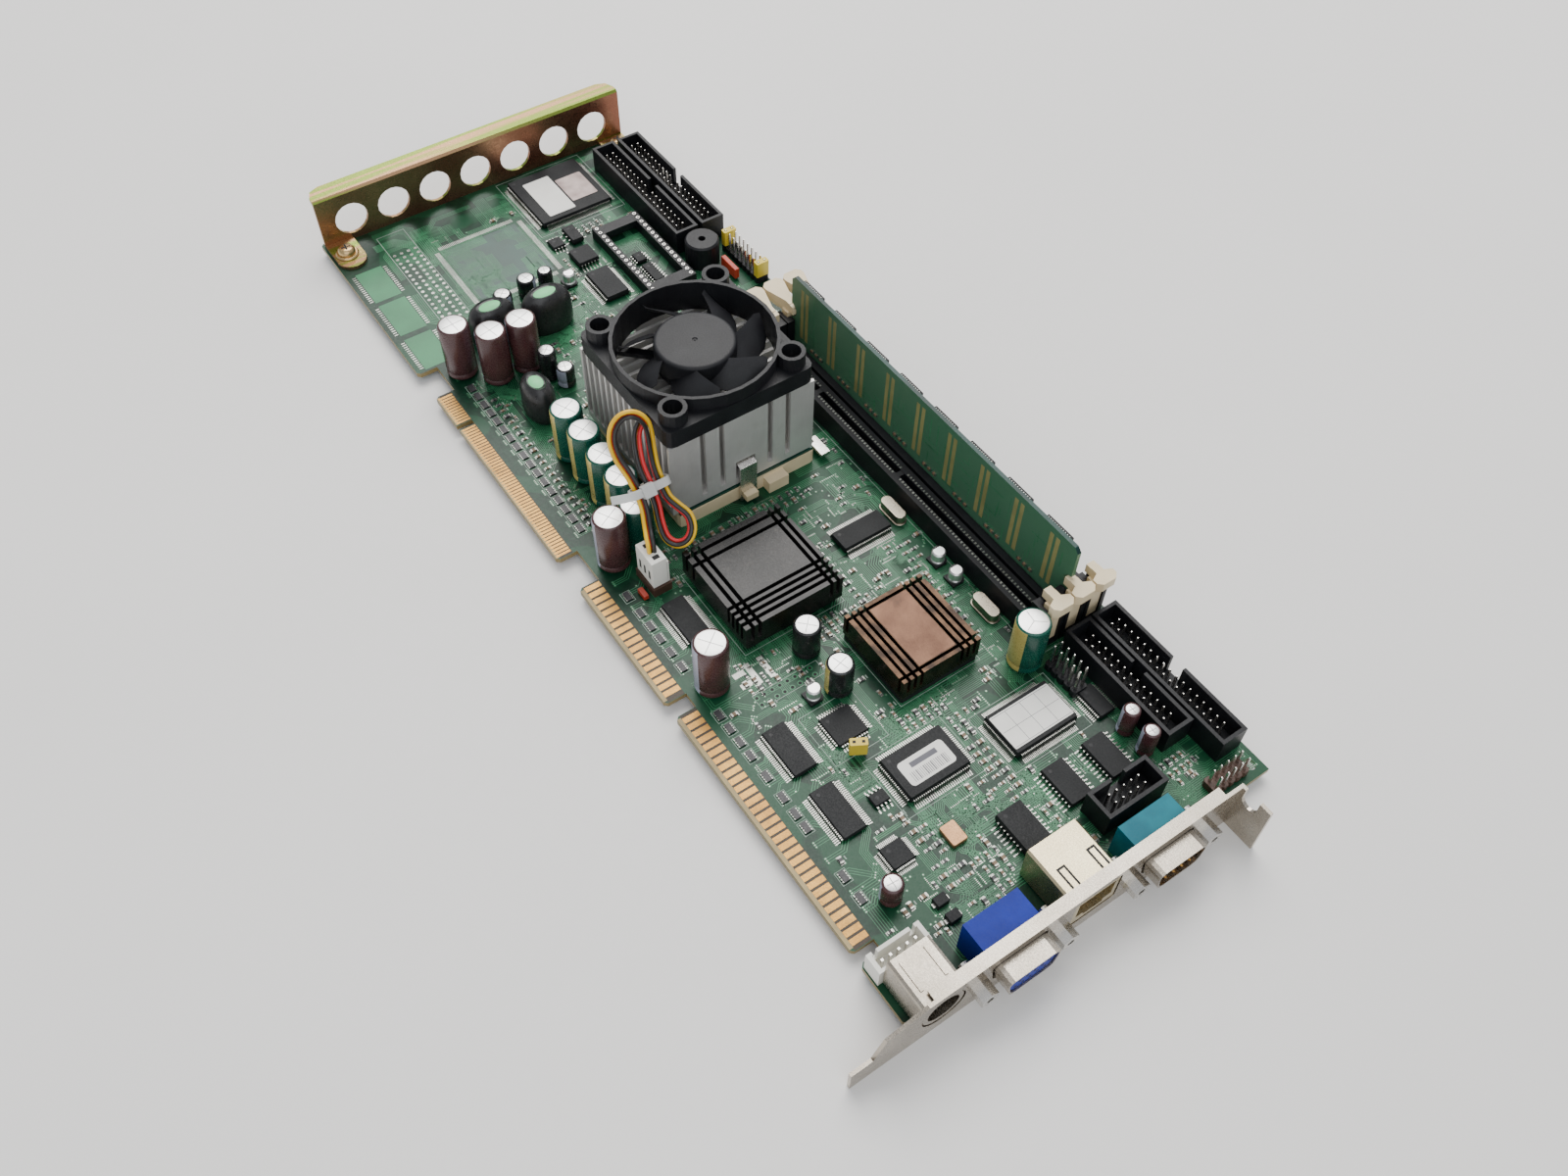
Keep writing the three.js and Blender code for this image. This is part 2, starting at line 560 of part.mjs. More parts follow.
// from the fan's side, down through the tie, round the lower loop, up through the tie, over the
// upper loop and down through the tie again to the plug
const LEAD_ROUTE = [
  [170, 34, 38.4], [170, 32.4, 38.4], [171.6, 29.7, 35.6], [176.9, 27.4, 30.6],
  [181.8, 27.2, 25.4], [185, 27, 21.4], [188.4, 26, 17.2], [191.6, 25.8, 13.8], [194.4, 27.4, 12.6],
  [195.8, 30.2, 13.6], [194.6, 32.8, 15.8], [191.6, 33.6, 18.4], [188.2, 32.2, 20.2], [185, 31, 21.8],
  [181.8, 30.8, 25.4], [178.8, 30.9, 29.4], [176.4, 31.6, 34], [175.2, 31.9, 39], [174.6, 31.2, 43.5],
  [173.4, 28.8, 46.6], [172.2, 25.6, 46.4], [171.8, 23, 43.2], [172.6, 21.8, 38.6], [174.8, 22, 33.8],
  [178, 23, 29.9], [181.8, 23.6, 25.4], [185.2, 23.2, 21.4], [189, 21.6, 18.6], [192.2, 20.2, 17.6],
  [193.7, 19.7, 16.4], [193.8, 19.7, 14.5],
];

function fanLead() {
  const path = new THREE.CatmullRomCurve3(LEAD_ROUTE.map((p) => new THREE.Vector3(...p)));
  const section = new THREE.Shape();
  for (let i = 0; i < 8; i += 1) {
    const angle = (i * Math.PI) / 4;
    const u = LEAD_RADIUS * Math.cos(angle);
    const v = LEAD_RADIUS * Math.sin(angle);
    if (i === 0) section.moveTo(u, v);
    else section.lineTo(u, v);
  }
  return toSolid(new THREE.ExtrudeGeometry(section, { steps: LEAD_STEPS, extrudePath: path }));
}

// a flat band round the three strands, drawn about its own axis
function cableTie() {
  const half = { x: 2.05, y: 5.6 };
  const band = 1;
  const width = 1.6;
  const outer = prismZ(softened(rectangle(-half.x - band, half.x + band, -half.y - band, half.y + band), 2.2),
    -width, width);
  return cut(outer, prismZ(softened(rectangle(-half.x, half.x, -half.y, half.y), 1.5), -width - 1, width + 1));
}

// ---------------------------------------------------------------- chips and their heatsinks
function chip(sizeX, sizeY, height) {
  const edge = 0.5;
  const base = rectangle(-sizeX / 2, sizeX / 2, -sizeY / 2, sizeY / 2);
  return prismZ(softened(base, edge, 1), 0, height);
}

// a square black heatsink: fins cut both ways round a flat island; z = 0 is its underside
function northbridgeHeatsink() {
  const half = 16.5;
  const floor = 2.4;
  const top = 8.8;
  const groove = 1.2;
  const alongY = [-14, -10.4, 7.8, 10, 12.2, 14.4].map((x) => {
    return box(x - groove / 2, x + groove / 2, -half - 1, half + 1, floor, top + 1);
  });
  const alongX = [-14.2, -11.8, 12.6, 14.8].map((y) => {
    return box(-half - 1, half + 1, y - groove / 2, y + groove / 2, floor, top + 1);
  });
  return cut(box(-half, half, -half, half, 0, top), ...alongY, ...alongX);
}

// fins along x each side of a flat island, and one groove across each end
function graphicsHeatsink() {
  const halfX = 13.6;
  const halfY = 13.35;
  const floor = 2.1;
  const top = 7.8;
  const groove = 1;
  const alongX = [-11.4, -9.2, -7, 7, 9.2, 11.4].map((y) => {
    return box(-halfX - 1, halfX + 1, y - groove / 2, y + groove / 2, floor, top + 1);
  });
  const ends = [-11.9, 11.9].map((x) => box(x - groove / 2, x + groove / 2, -halfY - 1, halfY + 1, floor, top + 1));
  return cut(box(-halfX, halfX, -halfY, halfY, 0, top), ...alongX, ...ends);
}

// ---------------------------------------------------------------- assembly
addPart('circuit_board', circuitBoard(), 'green_board');
addPart('card_retainer', cardRetainer(), 'zinc');
['retainer_screw_front', 'retainer_screw_rear'].forEach((name, i) => {
  addPart(name, retainerScrew(), 'bright_steel', [...RETAINER_SCREWS[i], 0]);
});

addPart('io_bracket', ioBracket(), 'nickel');
addPart('ps2_port', ps2Port(), 'nickel');
addPart('keyboard_header', keyboardHeader(), 'white_plastic', [324.4, 8.3, 0]);
addPart('vga_body', dBody(VGA_Y, 330, 346.8), 'blue_plastic');
addPart('vga_shell', dShell(VGA_Y, 339.5, 347.3), 'nickel');
addPart('lan_jack', lanJack(), 'nickel');
addPart('com_body', dBody(COM_Y, 331.8, 341.2), 'teal_plastic');
addPart('com_shell', dShell(COM_Y, 339.5, 347.3), 'nickel');
[['vga', VGA_Y], ['com', COM_Y]].forEach(([port, y]) => [-1, 1].forEach((side, i) => {
  const place = [BRACKET.x1, y + side * JACKSCREW_REACH, PORT_Z];
  addPart(`${port}_jackscrew_${i + 1}`, jackscrew(), 'bright_steel', place);
}));

addPart('com2_header', boxHeader(5), 'black_plastic', [323.8, 82.35, 0]).rotation.z = Math.PI / 2;
addPart('usb_header', pinHeader(5, 8), 'brown_plastic', [334, 109.85, 0]).rotation.z = Math.PI / 2;
addPart('parallel_header', boxHeader(13), 'black_plastic', [298.5, 106.2, 0]);
addPart('floppy_header', boxHeader(17), 'black_plastic', [303.5, 116, 0]);
addPart('ide_header_inner', boxHeader(20), 'black_plastic', [45.2, 106.6, 0]);
addPart('ide_header_outer', boxHeader(20), 'black_plastic', [45.2, 117.2, 0]);
addPart('panel_header', pinHeader(9, 8.5), 'black_plastic', [91.95, 119.15, 0]);
addPart('flash_socket', flashSocket(), 'black_plastic');
addPart('buzzer', buzzer(), 'black_plastic', [81.9, 107.9, 0]);

DIMM_Y.forEach((y, i) => {
  addPart(`dimm_socket_${i + 1}`, dimmSocket(), 'black_plastic', [0, y, 0]);
  addPart(`dimm_latch_near_${i + 1}`, dimmLatch(5.2), 'cream_plastic', [LATCH_NEAR_X, y, LATCH_PIVOT_Z]);
  const far = addPart(`dimm_latch_far_${i + 1}`, dimmLatch(12), 'cream_plastic', [LATCH_FAR_X, y, LATCH_PIVOT_Z]);
  far.rotation.z = Math.PI;
});
addPart('memory_module', memoryModule(), 'green_board', [0, DIMM_Y[1], 0]);

addPart('cpu_socket', cpuSocket(), 'cream_plastic');
addPart('socket_lever', socketLever(), 'bright_steel', [134, 86, 2.6]);
addPart('cpu_package', cpuPackage(), 'green_board');
addPart('cpu_heatsink', cpuHeatsink(), 'aluminium');
addPart('heatsink_clip', heatsinkClip(), 'bright_steel');
addPart('fan_frame', fanFrame(), 'black_plastic', [FAN.x, FAN.y, 0]);
addPart('fan_rotor', fanRotor(), 'black_plastic', [FAN.x, FAN.y, 0]);
FAN_CORNERS.forEach(([sx, sy], i) => {
  const place = [FAN.x + sx * FAN.screw, FAN.y + sy * FAN.screw, 0];
  addPart(`fan_screw_${i + 1}`, fanScrew(), 'bright_steel', place);
});

addPart('fan_header', box(-5.1, 5.1, -3, 3, 0, 3.2), 'brown_plastic', [193.8, 19.6, 0]);
addPart('fan_plug', box(-4.5, 4.5, -2.7, 2.7, 3.5, 14.2), 'white_plastic', [193.8, 19.7, 0]);
addPart('fan_lead', fanLead(), 'wire_vinyl');
addPart('cable_tie', cableTie(), 'clear_nylon', [181.8, 27.2, 25.4]).rotation.y = -0.67;

addPart('northbridge_chip', chip(31, 31, 2.2), 'chip_epoxy', [213.3, 44.2, 0]);
addPart('northbridge_heatsink', northbridgeHeatsink(), 'black_anodised', [213.3, 44.2, 2.2]);
addPart('graphics_chip', chip(27, 26.5, 2.2), 'chip_epoxy', [253.9, 66.7, 0]);
addPart('graphics_heatsink', graphicsHeatsink(), 'bronze_anodised', [253.9, 66.7, 2.2]);
addPart('bridge_chip', chip(31, 31, 2.3), 'chip_epoxy', [22.4, 83.7, 0]);
addPart('bus_chip', chip(14, 20, 3.1), 'chip_epoxy', [286.3, 46.6, 0]);
addPart('io_chip', chip(14, 21.4, 3.1), 'chip_epoxy', [291.6, 78.8, 0]);

addPart('choke_large', chokeColumn(5.5, 9, 15), 'shrink_sleeve', [81.2, 47.1, 0]);
addPart('choke_front', chokeColumn(7.5, 5, 14), 'shrink_sleeve', [115.4, 25.2, 0]);
addPart('capacitor_gold', capacitorCan(5, 19), 'gold_sleeve', [275.3, 90.6, 0]);

const motherboard = new THREE.Group();
motherboard.add(board);

export default motherboard;
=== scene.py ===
"""A full-size slot single-board computer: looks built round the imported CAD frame.

Everything is drawn in the board's own millimetres: x from the retainer end to the bracket end,
y from the finger edge to the rear edge, z = 0 on the component side.
"""
import bpy
import bmesh
import math
import random
from mathutils import Matrix, Vector


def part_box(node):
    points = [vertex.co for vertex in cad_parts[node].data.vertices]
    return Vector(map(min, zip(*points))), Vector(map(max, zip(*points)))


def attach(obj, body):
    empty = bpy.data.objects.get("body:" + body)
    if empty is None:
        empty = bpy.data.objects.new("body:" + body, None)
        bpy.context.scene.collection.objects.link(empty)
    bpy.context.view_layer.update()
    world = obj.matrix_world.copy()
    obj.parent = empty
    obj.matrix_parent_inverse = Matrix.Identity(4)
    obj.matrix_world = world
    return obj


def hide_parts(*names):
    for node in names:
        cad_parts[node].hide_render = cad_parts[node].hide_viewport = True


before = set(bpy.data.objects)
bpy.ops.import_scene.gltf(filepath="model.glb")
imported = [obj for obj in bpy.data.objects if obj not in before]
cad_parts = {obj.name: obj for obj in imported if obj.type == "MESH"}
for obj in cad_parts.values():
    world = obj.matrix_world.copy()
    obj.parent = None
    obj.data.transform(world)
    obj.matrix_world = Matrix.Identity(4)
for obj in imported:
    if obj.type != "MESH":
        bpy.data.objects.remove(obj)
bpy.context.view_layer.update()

MM = 0.001
BOARD_LOW, BOARD_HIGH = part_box("circuit_board")
ORIGIN = Vector((BOARD_LOW.x, BOARD_LOW.y, BOARD_HIGH.z))
BOARD_THICKNESS = 1.6
random.seed(295)


def at(x, y, z=0.0):
    """A point of the board's frame, in metres in the row frame."""
    return ORIGIN + Vector((x, y, z)) * MM


# ---------------------------------------------------------------- camera
def make_camera():
    data = bpy.data.cameras.new("camera")
    data.sensor_fit = "HORIZONTAL"
    data.sensor_width = 36.0
    data.lens = 31.84
    data.clip_start = 0.01
    data.clip_end = 10.0
    camera = bpy.data.objects.new("camera", data)
    bpy.context.scene.collection.objects.link(camera)
    forward = Vector((-0.48825, 0.34977, -0.79954)).normalized()
    up = Vector((-0.66217, 0.44829, 0.60047))
    right = forward.cross(up).normalized()
    up = right.cross(forward)
    turn = Matrix((right, up, -forward)).transposed()
    camera.matrix_world = Matrix.Translation(at(413.286, -91.248, 321.651)) @ turn.to_4x4()
    bpy.context.scene.camera = camera


make_camera()


# ---------------------------------------------------------------- materials
RELIEF_DEPTH = 0.0002


def ramp(nodes, links, source, low, high, start=0.35, end=0.65):
    """Remaps a 0 to 1 value between two numbers."""
    node = nodes.new("ShaderNodeMapRange")
    node.inputs["From Min"].default_value = start
    node.inputs["From Max"].default_value = end
    node.inputs["To Min"].default_value = low
    node.inputs["To Max"].default_value = high
    links.new(source, node.inputs["Value"])
    return node.outputs["Result"]


def noise(nodes, links, coordinate, scale, detail=3.0, stretch=None):
    """A noise value at `scale` features per metre, optionally stretched along an axis."""
    if stretch:
        mapping = nodes.new("ShaderNodeMapping")
        mapping.inputs["Scale"].default_value = stretch
        links.new(coordinate, mapping.inputs["Vector"])
        coordinate = mapping.outputs["Vector"]
    node = nodes.new("ShaderNodeTexNoise")
    node.inputs["Scale"].default_value = scale
    node.inputs["Detail"].default_value = detail
    links.new(coordinate, node.inputs["Vector"])
    return node.outputs["Fac"]


def mix(nodes, links, factor, first, second):
    """Mixes two colours; each may be a tuple or a socket."""
    node = nodes.new("ShaderNodeMix")
    node.data_type = "RGBA"
    links.new(factor, node.inputs["Factor"])
    for socket, value in ((node.inputs["A"], first), (node.inputs["B"], second)):
        if isinstance(value, tuple):
            socket.default_value = (*value, 1.0)
        else:
            links.new(value, socket)
    return node.outputs["Result"]


def blank_material(name):
    material = bpy.data.materials.new(name)
    material.use_nodes = True
    tree = material.node_tree
    shader = tree.nodes["Principled BSDF"]
    coordinate = tree.nodes.new("ShaderNodeTexCoord").outputs["Object"]
    return material, tree.nodes, tree.links, shader, coordinate


def add_relief(nodes, links, shader, source, strength):
    relief = nodes.new("ShaderNodeBump")
    relief.inputs["Strength"].default_value = strength
    relief.inputs["Distance"].default_value = RELIEF_DEPTH
    links.new(source, relief.inputs["Height"])
    links.new(relief.outputs["Normal"], shader.inputs["Normal"])


def upward(nodes, links):
    """The z part of each face's own normal."""
    geometry = nodes.new("ShaderNodeNewGeometry")
    split = nodes.new("ShaderNodeSeparateXYZ")
    links.new(geometry.outputs["True Normal"], split.inputs["Vector"])
    return split.outputs["Z"]


def finish(name, light, dark, rough=(0.35, 0.5), metal=0.0, mottle=120.0, grain=2500.0, bump=0.04,
           wear=None, wear_scale=300.0, stretch=None, specular=0.5, clear=0.0):
    """A surface whose colour, roughness and relief all vary: `wear` is a third colour in patches."""
    material, nodes, links, shader, coordinate = blank_material(name)
    broad = noise(nodes, links, coordinate, mottle, 4.0)
    fine = noise(nodes, links, coordinate, grain, 2.0, stretch)
    colour = mix(nodes, links, ramp(nodes, links, broad, 0.0, 1.0), dark, light)
    if wear:
        patches = noise(nodes, links, coordinate, wear_scale, 6.0)
        colour = mix(nodes, links, ramp(nodes, links, patches, 0.0, 0.8, 0.56, 0.72), colour, wear)
    links.new(colour, shader.inputs["Base Color"])
    links.new(ramp(nodes, links, fine, rough[0], rough[1], 0.3, 0.7), shader.inputs["Roughness"])
    add_relief(nodes, links, shader, fine, bump)
    shader.inputs["Metallic"].default_value = metal
    shader.inputs["Specular IOR Level"].default_value = specular
    shader.inputs["Transmission Weight"].default_value = clear
    return material


def laminate(name, mask, pour, tan):
    """Green solder mask with lighter copper pours, and tan glass laminate on the cut edges."""
    material, nodes, links, shader, coordinate = blank_material(name)
    patches = noise(nodes, links, coordinate, 38.0, 1.0)
    fine = noise(nodes, links, coordinate, 900.0, 5.0)
    speckle = noise(nodes, links, coordinate, 2600.0, 2.0)
    green = mix(nodes, links, ramp(nodes, links, patches, 0.0, 1.0, 0.5, 0.515), mask, pour)
    green = mix(nodes, links, ramp(nodes, links, fine, 0.0, 0.45, 0.45, 0.7), green, pour)
    flat = nodes.new("ShaderNodeMath")
    flat.operation = "ABSOLUTE"
    links.new(upward(nodes, links), flat.inputs[0])
    face = ramp(nodes, links, flat.outputs["Value"], 0.0, 1.0, 0.4, 0.6)
    links.new(mix(nodes, links, face, tan, green), shader.inputs["Base Color"])
    links.new(ramp(nodes, links, speckle, 0.28, 0.42, 0.3, 0.7), shader.inputs["Roughness"])
    add_relief(nodes, links, shader, fine, 0.06)
    shader.inputs["Specular IOR Level"].default_value = 0.3
    return material


def passivated(name):
    """Yellow-passivated zinc: brown and pink on upright faces, banded yellow-green on level ones. The tints
    are the plating's own; their split by face direction is painted light.
    """
    material, nodes, links, shader, coordinate = blank_material(name)
    cloud = noise(nodes, links, coordinate, 30.0, 3.0)
    fine = noise(nodes, links, coordinate, 1800.0, 2.0)
    bands = noise(nodes, links, coordinate, 420.0, 2.0, (1.0, 0.03, 1.0))
    upright = mix(nodes, links, ramp(nodes, links, cloud, 0.0, 1.0, 0.4, 0.6),
                  (0.24, 0.100, 0.062), (0.36, 0.210, 0.120))
    level = mix(nodes, links, ramp(nodes, links, bands, 0.0, 1.0, 0.42, 0.58),
                (0.22, 0.29, 0.050), (0.44, 0.260, 0.140))
    # Choosing the tint by face direction is painted light: lighter on level faces, darker on upright ones.
    face = ramp(nodes, links, upward(nodes, links), 0.0, 1.0, 0.3, 0.7)
    links.new(mix(nodes, links, face, upright, level), shader.inputs["Base Color"])
    links.new(ramp(nodes, links, fine, 0.24, 0.4, 0.3, 0.7), shader.inputs["Roughness"])
    add_relief(nodes, links, shader, cloud, 0.05)
    shader.inputs["Metallic"].default_value = 0.9
    return material


ZINC = passivated("passivated_zinc")
PCB = laminate("solder_mask", (0.0014, 0.026, 0.012), (0.004, 0.058, 0.024), (0.24, 0.18, 0.07))
MODULE_PCB = laminate("module_mask", (0.001, 0.024, 0.021), (0.003, 0.044, 0.037), (0.06, 0.16, 0.09))
TRACE = finish("masked_copper", (0.045, 0.215, 0.095), (0.026, 0.140, 0.062), (0.25, 0.4), specular=0.35)
SUBSTRATE = finish("bare_mask", (0.022, 0.230, 0.085), (0.014, 0.165, 0.060), (0.35, 0.5), mottle=60)
DEEP_MASK = finish("deep_mask", (0.004, 0.060, 0.042), (0.003, 0.042, 0.030), (0.3, 0.45))
SILK = finish("silkscreen", (0.34, 0.42, 0.36), (0.24, 0.32, 0.26), (0.5, 0.65), specular=0.3)
SOLDER = finish("tinned_pad", (0.36, 0.37, 0.34), (0.22, 0.23, 0.21), (0.22, 0.4), metal=0.9)
GOLD = finish("finger_gold", (0.42, 0.235, 0.060), (0.32, 0.165, 0.040), (0.26, 0.42), metal=0.8,
              wear=(0.22, 0.12, 0.035), wear_scale=160)
FINGER_GAP = finish("finger_gap", (0.045, 0.028, 0.010), (0.025, 0.016, 0.007), (0.45, 0.6))
TAN = finish("bare_laminate", (0.44, 0.34, 0.16), (0.34, 0.26, 0.12), (0.5, 0.65))

NICKEL = finish("nickel_plate", (0.50, 0.45, 0.38), (0.38, 0.34, 0.28), (0.2, 0.36), metal=1.0, mottle=80,
                wear=(0.45, 0.42, 0.36), wear_scale=220)
LAN_TIN = finish("lan_tin", (0.66, 0.58, 0.38), (0.54, 0.46, 0.29), (0.24, 0.38), metal=0.95, mottle=70)
YELLOW_ZINC = finish("yellow_zinc", (0.62, 0.46, 0.22), (0.50, 0.33, 0.16), (0.22, 0.36),
                     metal=1.0, mottle=200)
STEEL = finish("bright_steel", (0.80, 0.78, 0.74), (0.64, 0.62, 0.58), (0.2, 0.34), metal=1.0, mottle=200)
ALUMINIUM = finish("milled_aluminium", (0.70, 0.69, 0.66), (0.58, 0.57, 0.55), (0.42, 0.58), metal=0.6,
                   mottle=60, stretch=(1, 1, 0.05), wear=(0.56, 0.55, 0.52), wear_scale=120)
CAN_TOP = finish("can_top", (0.86, 0.86, 0.84), (0.74, 0.74, 0.73), (0.28, 0.4), metal=0.9)
# Darker copy of the can-top metal for the vent scores: painted shade in the stamped grooves.
VENT_GROOVE_SHADE = finish("vent_groove_shade", (0.36, 0.36, 0.36), (0.28, 0.28, 0.28), (0.4, 0.5), metal=0.8)
WHITE = finish("white_nylon", (0.86, 0.85, 0.78), (0.78, 0.77, 0.70), (0.4, 0.55))
BLUE = finish("blue_plastic", (0.003, 0.020, 0.30), (0.002, 0.014, 0.22), (0.42, 0.55), specular=0.25)
TEAL = finish("teal_plastic", (0.002, 0.17, 0.22), (0.002, 0.12, 0.165), (0.42, 0.55), specular=0.25)
BROWN = finish("brown_plastic", (0.085, 0.042, 0.028), (0.060, 0.030, 0.020), (0.4, 0.55))
BLACK = finish("black_plastic", (0.008, 0.009, 0.011), (0.004, 0.004, 0.006), (0.4, 0.55), bump=0.07,
               specular=0.35)
FAN_BLACK = finish("fan_black", (0.010, 0.011, 0.013), (0.006, 0.006, 0.008), (0.44, 0.58), bump=0.12,
                   wear=(0.016, 0.016, 0.019), wear_scale=90, specular=0.35)
CREAM = finish("cream_plastic", (0.80, 0.67, 0.44), (0.72, 0.59, 0.37), (0.4, 0.52))
BLACK_ANODISED = finish("black_anodised", (0.012, 0.011, 0.011), (0.006, 0.006, 0.006), (0.24, 0.36),
                        metal=0.3, mottle=90, wear=(0.022, 0.019, 0.017), wear_scale=500)
# One bronze anodising in two copies: a darker one on the fins, painted shade, and a lighter one on the top
# plate, painted light.
BRONZE_FIN_SHADED = finish("bronze_fin_shaded", (0.075, 0.042, 0.024), (0.022, 0.014, 0.010), (0.2, 0.34), metal=0.85,
                    mottle=260)
BRONZE_TOP_LIT = finish("bronze_top_lit", (0.145, 0.076, 0.046), (0.085, 0.042, 0.026), (0.3, 0.5), metal=0.75,
                    mottle=110, wear=(0.040, 0.024, 0.018), wear_scale=170)
EPOXY = finish("chip_epoxy", (0.014, 0.015, 0.016), (0.008, 0.009, 0.010), (0.5, 0.68), bump=0.12,
               specular=0.28)
LEAD = finish("chip_lead", (0.46, 0.46, 0.43), (0.30, 0.30, 0.28), (0.25, 0.4), metal=0.95)
LABEL = finish("white_label", (0.86, 0.85, 0.80), (0.78, 0.77, 0.72), (0.5, 0.65))
LABEL_WORN = finish("worn_label", (0.60, 0.48, 0.44), (0.34, 0.25, 0.23), (0.4, 0.6), mottle=170)
LABEL_INK = finish("label_ink", (0.12, 0.12, 0.14), (0.07, 0.07, 0.09), (0.5, 0.6))
SLEEVE_BLACK = finish("shrink_sleeve", (0.020, 0.020, 0.021), (0.012, 0.012, 0.012), (0.25, 0.42), bump=0.2,
                      grain=700)
CORE_GREEN = finish("core_green", (0.20, 0.72, 0.30), (0.14, 0.55, 0.22), (0.45, 0.6))
CAP_BROWN = finish("cap_brown", (0.075, 0.030, 0.030), (0.050, 0.020, 0.022), (0.22, 0.34))
CAP_GREY = finish("cap_stripe_grey", (0.36, 0.38, 0.46), (0.28, 0.30, 0.38), (0.25, 0.38))
CAP_GREEN = finish("cap_green", (0.003, 0.085, 0.055), (0.002, 0.058, 0.038), (0.2, 0.32))
CAP_GOLD = finish("cap_stripe_gold", (0.62, 0.52, 0.16), (0.50, 0.40, 0.12), (0.25, 0.38), metal=0.3)
CAP_BLACK = finish("cap_black", (0.014, 0.016, 0.016), (0.010, 0.010, 0.011), (0.2, 0.34))
CERAMIC = finish("ceramic_tan", (0.22, 0.145, 0.080), (0.14, 0.090, 0.050), (0.45, 0.6), mottle=400)
RESISTOR = finish("resistor_black", (0.030, 0.030, 0.034), (0.018, 0.018, 0.022), (0.35, 0.5), mottle=400)
CRYSTAL = finish("crystal_can", (0.50, 0.45, 0.36), (0.38, 0.34, 0.27), (0.25, 0.38), metal=1.0)
OSCILLATOR = finish("oscillator_can", (0.42, 0.24, 0.12), (0.32, 0.17, 0.08), (0.25, 0.4), metal=0.7)
YELLOW_CAP = finish("jumper_yellow", (0.80, 0.62, 0.06), (0.66, 0.48, 0.04), (0.4, 0.5))
RED_PART = finish("red_part", (0.50, 0.05, 0.02), (0.36, 0.03, 0.015), (0.35, 0.5))
NYLON = finish("clear_nylon", (0.86, 0.87, 0.84), (0.76, 0.77, 0.75), (0.3, 0.45), clear=0.35)
WIRE_RED = finish("wire_red", (0.72, 0.025, 0.030), (0.58, 0.015, 0.020), (0.28, 0.4))
WIRE_YELLOW = finish("wire_yellow", (0.90, 0.56, 0.012), (0.80, 0.46, 0.008), (0.28, 0.4))
WIRE_BLACK = finish("wire_black", (0.022, 0.022, 0.022), (0.014, 0.014, 0.014), (0.28, 0.4))
# Near-black stand-in for holes, slots and recesses: painted shade where an opening shows dark.
HOLE_SHADE = finish("painted_hole_shade", (0.008, 0.008, 0.009), (0.005, 0.005, 0.006), (0.6, 0.75))
OLIVE = finish("module_olive", (0.30, 0.28, 0.11), (0.22, 0.21, 0.08), (0.3, 0.45), specular=0.3)


